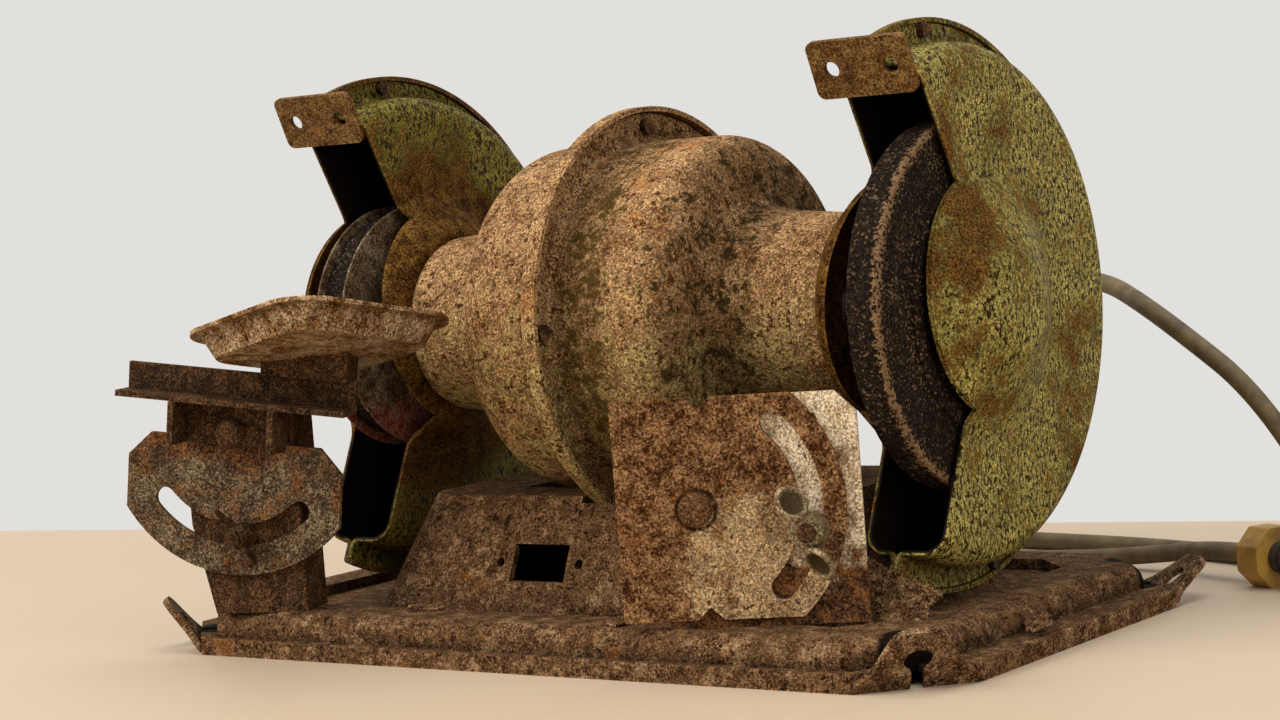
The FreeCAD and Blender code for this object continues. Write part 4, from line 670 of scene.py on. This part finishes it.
def keep_faces(sheet, inside):
    """Deletes the faces of a flat sheet whose middles lie outside a test, and roughens what is left."""
    bpy.ops.object.mode_set(mode="EDIT")
    bpy.ops.mesh.select_mode(type="FACE")
    bpy.ops.mesh.select_all(action="DESELECT")
    bpy.ops.object.mode_set(mode="OBJECT")
    for face in sheet.data.polygons:
        face.select = not inside(face.center.x, face.center.y)
    bpy.ops.object.mode_set(mode="EDIT")
    bpy.ops.mesh.delete(type="FACE")
    bpy.ops.mesh.select_all(action="SELECT")
    bpy.ops.transform.vertex_random(offset=SCALE_ROUGHNESS, uniform=0.5, normal=0.5, seed=5)
    bpy.ops.object.mode_set(mode="OBJECT")


def thicken(sheet, thickness, material):
    """Gives a torn sheet its thickness, puts its place in its mesh, and hangs it on the frame."""
    solid = sheet.modifiers.new("Sheet", "SOLIDIFY")
    solid.thickness = thickness
    solid.offset = 0.0
    bpy.ops.object.modifier_apply(modifier=solid.name)
    bpy.ops.object.transform_apply(location=True, rotation=True, scale=True)
    bpy.ops.object.shade_smooth_by_angle(angle=SMOOTH_ANGLE)
    sheet.data.materials.append(material)
    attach(sheet, "frame")


def torn_sheet(settings):
    """Layer of the pan's skin that stands up beside the right post, with a ragged right edge."""
    deselect()
    wide, high = settings.sheet_width, settings.sheet_height
    bpy.ops.mesh.primitive_grid_add(x_subdivisions=34, y_subdivisions=28, size=1)
    sheet = bpy.context.object
    sheet.name = "torn_rust_sheet"
    sheet.scale = (wide, high, 1)
    bpy.ops.object.transform_apply(scale=True)
    teeth = random.Random(4)
    steps = [teeth.uniform(*TEETH) for _ in range(14)]

    def inside(across, up):
        share = (up + high / 2) / high
        top = SHEET_TOP - SHEET_FALL * (across + wide / 2)
        step = share * (len(steps) - 2)
        low, part = steps[int(step)], step - int(step)
        tooth = low + (steps[int(step) + 1] - low) * part
        edge = wide / 2 - TEAR_MARGIN - TEAR_BITE * max(0.0, TEAR_FOOT - share) + tooth
        return up < top and across < edge

    keep_faces(sheet, inside)
    sheet.rotation_euler = (SHEET_LEAN, 0, 0)
    sheet.location = SHEET_PLACE
    thicken(sheet, SHEET_THICKNESS, loose_scale(settings))


def rust_flakes(settings):
    """Small leaves of rust lying on the pan, each torn from the same sheet in its own shape."""
    material = loose_scale(settings)
    for name, place, size, turn, seed in FLAKES:
        deselect()
        bpy.ops.mesh.primitive_grid_add(x_subdivisions=16, y_subdivisions=12, size=1)
        flake = bpy.context.object
        flake.name = name
        flake.scale = (size[0] / 1000, size[1] / 1000, 1)
        bpy.ops.object.transform_apply(scale=True)
        wave = random.Random(seed)
        bumps = [(wave.uniform(0.05, 0.16), wave.uniform(2, 7), wave.uniform(0, math.tau))
                 for _ in range(4)]

        def inside(across, along):
            x, y = across / (size[0] / 2000), along / (size[1] / 2000)
            angle = math.atan2(y, x)
            edge = FLAKE_REACH + sum(deep * math.sin(round(often) * angle + phase)
                                     for deep, often, phase in bumps)
            return math.hypot(x, y) < edge

        keep_faces(flake, inside)
        flake.rotation_euler = [math.radians(v) for v in turn]
        flake.location = [v / 1000 for v in place]
        thicken(flake, settings.flake_thickness, material)


# Stage, in metres: the point that the lamps face, and the bench top with its far edge as in the photo
LAMP_AIM = Vector((0, 0, 0.1))
BENCH_CORNERS = [(-2.6, -1.6, 0), (2.6, -1.6, 0), (-2.6, -0.14, 0), (2.6, 0.6565, 0)]


def stage_finish(settings):
    """Pale bench top, off-white surround, soft lamps, and the camera where the photo was taken."""
    deselect()
    bpy.ops.mesh.primitive_plane_add(size=1)
    floor = bpy.context.object
    floor.name = "bench_top"
    mesh = floor.data
    for vertex, corner in zip(mesh.vertices, BENCH_CORNERS):
        vertex.co = corner
    # Bench top: plain pale wood colour, dull enough to show only a soft shadow
    material, tree, shader = new_material("Bench top pale wood")
    shader.inputs["Base Color"].default_value = linear("#c8b49a")
    shader.inputs["Roughness"].default_value = 0.55
    mesh.materials.append(material)

    world = bpy.data.worlds.new("Off-white surround")
    bpy.context.scene.world = world
    world.use_nodes = True
    tree = world.node_tree
    sky = tree.nodes["Background"]
    sky.inputs["Color"].default_value = linear("#e2e0dd")
    light = add(tree, "ShaderNodeLightPath").outputs
    seen = light["Is Camera Ray"]
    for kind in ("Is Glossy Ray", "Is Transmission Ray"):
        seen = add(tree, "ShaderNodeMath", {0: seen, 1: light[kind]}, operation="MAXIMUM").outputs[0]
    strength = add(tree, "ShaderNodeMapRange",
                   {"Value": seen, "To Min": settings.fill, "To Max": 1.0}).outputs[0]
    tree.links.new(strength, sky.inputs["Strength"])

    lamps = [("window_light", (-1.5, -1.85, 1.75), 1.8, settings.key, "#fffaf4"),
             ("overhead_softbox", (0.15, 0.15, 2.4), 2.0, settings.top, "#fffdfa"),
             ("right_fill", (2.4, -0.85, 1.25), 1.5, settings.side, "#fffaf4")]
    for name, place, size, power, tint in lamps:
        bpy.ops.object.light_add(type="AREA", location=place)
        lamp = bpy.context.object
        lamp.name = name
        lamp.data.shape = "SQUARE"
        lamp.data.size = size
        lamp.data.energy = power
        lamp.data.color = linear(tint)[:3]
        lamp.rotation_euler = (LAMP_AIM - Vector(place)).to_track_quat("-Z", "Y").to_euler()

    bpy.ops.object.camera_add(location=settings.camera_place)
    camera = bpy.context.object
    ahead = Vector(settings.camera_aim).to_track_quat("-Z", "Y").to_matrix()
    camera.rotation_euler = (ahead @ Matrix.Rotation(settings.camera_roll, 3, "Z")).to_euler()
    camera.data.lens = settings.lens
    camera.data.sensor_width = 36.0
    camera.data.clip_start = 0.01
    bpy.context.scene.camera = camera
    bpy.context.scene.view_settings.view_transform = "Standard"


class GrinderFinish(bpy.types.PropertyGroup):
    """Colours, wear and sizes of the finished pieces."""
    guard_colour: FloatVectorProperty(name="Guard paint", description="Olive paint of the wheel guards",
                                      default=linear("#ada056")[:3], subtype="COLOR", min=0.0, max=1.0)
    motor_colour: FloatVectorProperty(name="Motor rust dust", description="Tan rust dust on the motor",
                                      default=linear("#c09769")[:3], subtype="COLOR", min=0.0, max=1.0)
    motor_paint: FloatVectorProperty(name="Motor paint", description="Old paint low on the motor",
                                     default=linear("#b09860")[:3], subtype="COLOR", min=0.0, max=1.0)
    base_colour: FloatVectorProperty(name="Base rust", description="Main rust tone of the base",
                                     default=linear("#7d5c3d")[:3], subtype="COLOR", min=0.0, max=1.0)
    zinc_colour: FloatVectorProperty(name="Zinc", description="Zinc left on the right rest",
                                     default=linear("#c1a277")[:3], subtype="COLOR", min=0.0, max=1.0)
    sheet_width: FloatProperty(name="Torn sheet width", description="Length of the torn rust sheet",
                               default=0.034, unit="LENGTH")
    sheet_height: FloatProperty(name="Torn sheet height",
                                description="Height of the torn rust sheet up its slope",
                                default=0.0265, unit="LENGTH")
    flake_thickness: FloatProperty(name="Flake thickness", description="Thickness of a loose rust leaf",
                                   default=0.0009, unit="LENGTH")
    nut_span: FloatProperty(name="Wing nut span", description="Right wing nut across its wings",
                            default=0.033, unit="LENGTH")
    nut_height: FloatProperty(name="Wing nut height", description="Right wing nut from its seat to its tips",
                              default=0.016, unit="LENGTH")
    pit: FloatProperty(name="Pit depth", description="How deep the rust pits look", default=1.0, min=0.0,
                       max=2.0)
    base_rust: FloatProperty(name="Base rust", description="Share of rust scale on the base",
                             default=0.5, min=0.0, max=1.0, subtype="FACTOR")
    motor_rust: FloatProperty(name="Motor rust", description="Share of rust patches on the motor",
                              default=0.5, min=0.0, max=1.0, subtype="FACTOR")
    guard_rust: FloatProperty(name="Guard rust", description="Share of rust patches on the guards",
                              default=0.3, min=0.0, max=1.0, subtype="FACTOR")
    cord_diameter: FloatProperty(name="Cord diameter", description="Outside diameter of the mains cord",
                                 default=0.007, unit="LENGTH")
    cord_length: FloatProperty(name="Cord length", description="Length from the motor to the plug",
                               default=0.956, unit="LENGTH")


class GrinderStage(bpy.types.PropertyGroup):
    """Camera and light."""
    lens: FloatProperty(name="Lens", description="Focal length on a 36 mm sensor", default=78.55,
                        unit="CAMERA")
    camera_place: FloatVectorProperty(name="Camera place", description="Where the camera stands",
                                      default=(0.612, -0.821, 0.169), subtype="TRANSLATION", unit="LENGTH")
    camera_aim: FloatVectorProperty(name="Camera aim", description="Direction the camera looks",
                                    default=(-0.6047, 0.7935, -0.0678), subtype="DIRECTION")
    camera_roll: FloatProperty(name="Camera roll",
                               description="Turn of the camera about its own line of sight",
                               default=math.radians(-4.42), subtype="ANGLE")
    fill: FloatProperty(name="Surround", description="Strength of the light from all round", default=0.55)
    key: FloatProperty(name="Key light", description="Power of the large lamp on the left", default=72.0,
                       unit="POWER")
    top: FloatProperty(name="Top light", description="Power of the lamp overhead", default=27.0, unit="POWER")
    side: FloatProperty(name="Side light", description="Power of the lamp on the right", default=21.0,
                        unit="POWER")


class GrinderStep:
    """What all steps share."""
    bl_options = {"REGISTER", "UNDO"}


class GRINDER_OT_base(GrinderStep, bpy.types.Operator):
    """Gives the base pan its pitted rust"""
    bl_idname = "grinder.base"
    bl_label = "Base"

    def execute(self, context):
        base_finish(context.scene.grinder_finish)
        return {"FINISHED"}


class GRINDER_OT_motor(GrinderStep, bpy.types.Operator):
    """Gives the motor its dusty rust over paint"""
    bl_idname = "grinder.motor"
    bl_label = "Motor"

    def execute(self, context):
        motor_finish(context.scene.grinder_finish)
        return {"FINISHED"}


class GRINDER_OT_guards(GrinderStep, bpy.types.Operator):
    """Gives the wheel guards their speckled paint"""
    bl_idname = "grinder.guards"
    bl_label = "Guards"

    def execute(self, context):
        guard_finish(context.scene.grinder_finish)
        return {"FINISHED"}


class GRINDER_OT_wheels(GrinderStep, bpy.types.Operator):
    """Gives the wheels their grit"""
    bl_idname = "grinder.wheels"
    bl_label = "Wheels"

    def execute(self, context):
        wheel_finish(context.scene.grinder_finish)
        return {"FINISHED"}


class GRINDER_OT_rests(GrinderStep, bpy.types.Operator):
    """Gives the two rests their rust and zinc"""
    bl_idname = "grinder.rests"
    bl_label = "Rests"

    def execute(self, context):
        rest_finish(context.scene.grinder_finish)
        return {"FINISHED"}


class GRINDER_OT_wing_nut(GrinderStep, bpy.types.Operator):
    """Casts the right wing nut"""
    bl_idname = "grinder.wing_nut"
    bl_label = "Wing nut"

    def execute(self, context):
        wing_nut(context.scene.grinder_finish)
        return {"FINISHED"}


class GRINDER_OT_torn_sheet(GrinderStep, bpy.types.Operator):
    """Adds the torn sheet of rust beside the right post"""
    bl_idname = "grinder.torn_sheet"
    bl_label = "Torn sheet"

    def execute(self, context):
        torn_sheet(context.scene.grinder_finish)
        return {"FINISHED"}


class GRINDER_OT_flakes(GrinderStep, bpy.types.Operator):
    """Adds the leaves of rust on the pan"""
    bl_idname = "grinder.flakes"
    bl_label = "Rust leaves"

    def execute(self, context):
        rust_flakes(context.scene.grinder_finish)
        return {"FINISHED"}


class GRINDER_OT_cord(GrinderStep, bpy.types.Operator):
    """Lays the mains cord and finishes its plug"""
    bl_idname = "grinder.cord"
    bl_label = "Cord and plug"

    def execute(self, context):
        mains_cord(context.scene.grinder_finish)
        return {"FINISHED"}


class GRINDER_OT_stage(GrinderStep, bpy.types.Operator):
    """Sets the bench top, lamps and camera"""
    bl_idname = "grinder.stage"
    bl_label = "Stage"

    def execute(self, context):
        stage_finish(context.scene.grinder_stage)
        return {"FINISHED"}


STEPS = (GRINDER_OT_base, GRINDER_OT_motor, GRINDER_OT_guards, GRINDER_OT_wheels, GRINDER_OT_rests,
         GRINDER_OT_wing_nut, GRINDER_OT_torn_sheet, GRINDER_OT_flakes, GRINDER_OT_cord, GRINDER_OT_stage)


class GRINDER_PT_panel(bpy.types.Panel):
    """Sidebar with the settings and the steps in their order"""
    bl_label = "Bench grinder"
    bl_idname = "GRINDER_PT_panel"
    bl_space_type = "VIEW_3D"
    bl_region_type = "UI"
    bl_category = "Grinder"

    def draw(self, context):
        for group in (context.scene.grinder_finish, context.scene.grinder_stage):
            column = self.layout.column(align=True)
            for key in group.bl_rna.properties.keys():
                if key not in {"rna_type", "name"}:
                    column.prop(group, key)
        column = self.layout.column(align=True)
        for step in STEPS:
            column.operator(step.bl_idname)


CLASSES = (GrinderFinish, GrinderStage, *STEPS, GRINDER_PT_panel)


def register():
    for item in CLASSES:
        bpy.utils.register_class(item)
    bpy.types.Scene.grinder_finish = PointerProperty(type=GrinderFinish)
    bpy.types.Scene.grinder_stage = PointerProperty(type=GrinderStage)


def unregister():
    del bpy.types.Scene.grinder_stage
    del bpy.types.Scene.grinder_finish
    for item in reversed(CLASSES):
        bpy.utils.unregister_class(item)


def main():
    """Runs the steps in their order."""
    register()
    bpy.ops.grinder.base()
    bpy.ops.grinder.motor()
    bpy.ops.grinder.guards()
    bpy.ops.grinder.wheels()
    bpy.ops.grinder.rests()
    bpy.ops.grinder.wing_nut()
    bpy.ops.grinder.torn_sheet()
    bpy.ops.grinder.flakes()
    bpy.ops.grinder.cord()
    bpy.ops.grinder.stage()


if __name__ == "__main__":
    main()
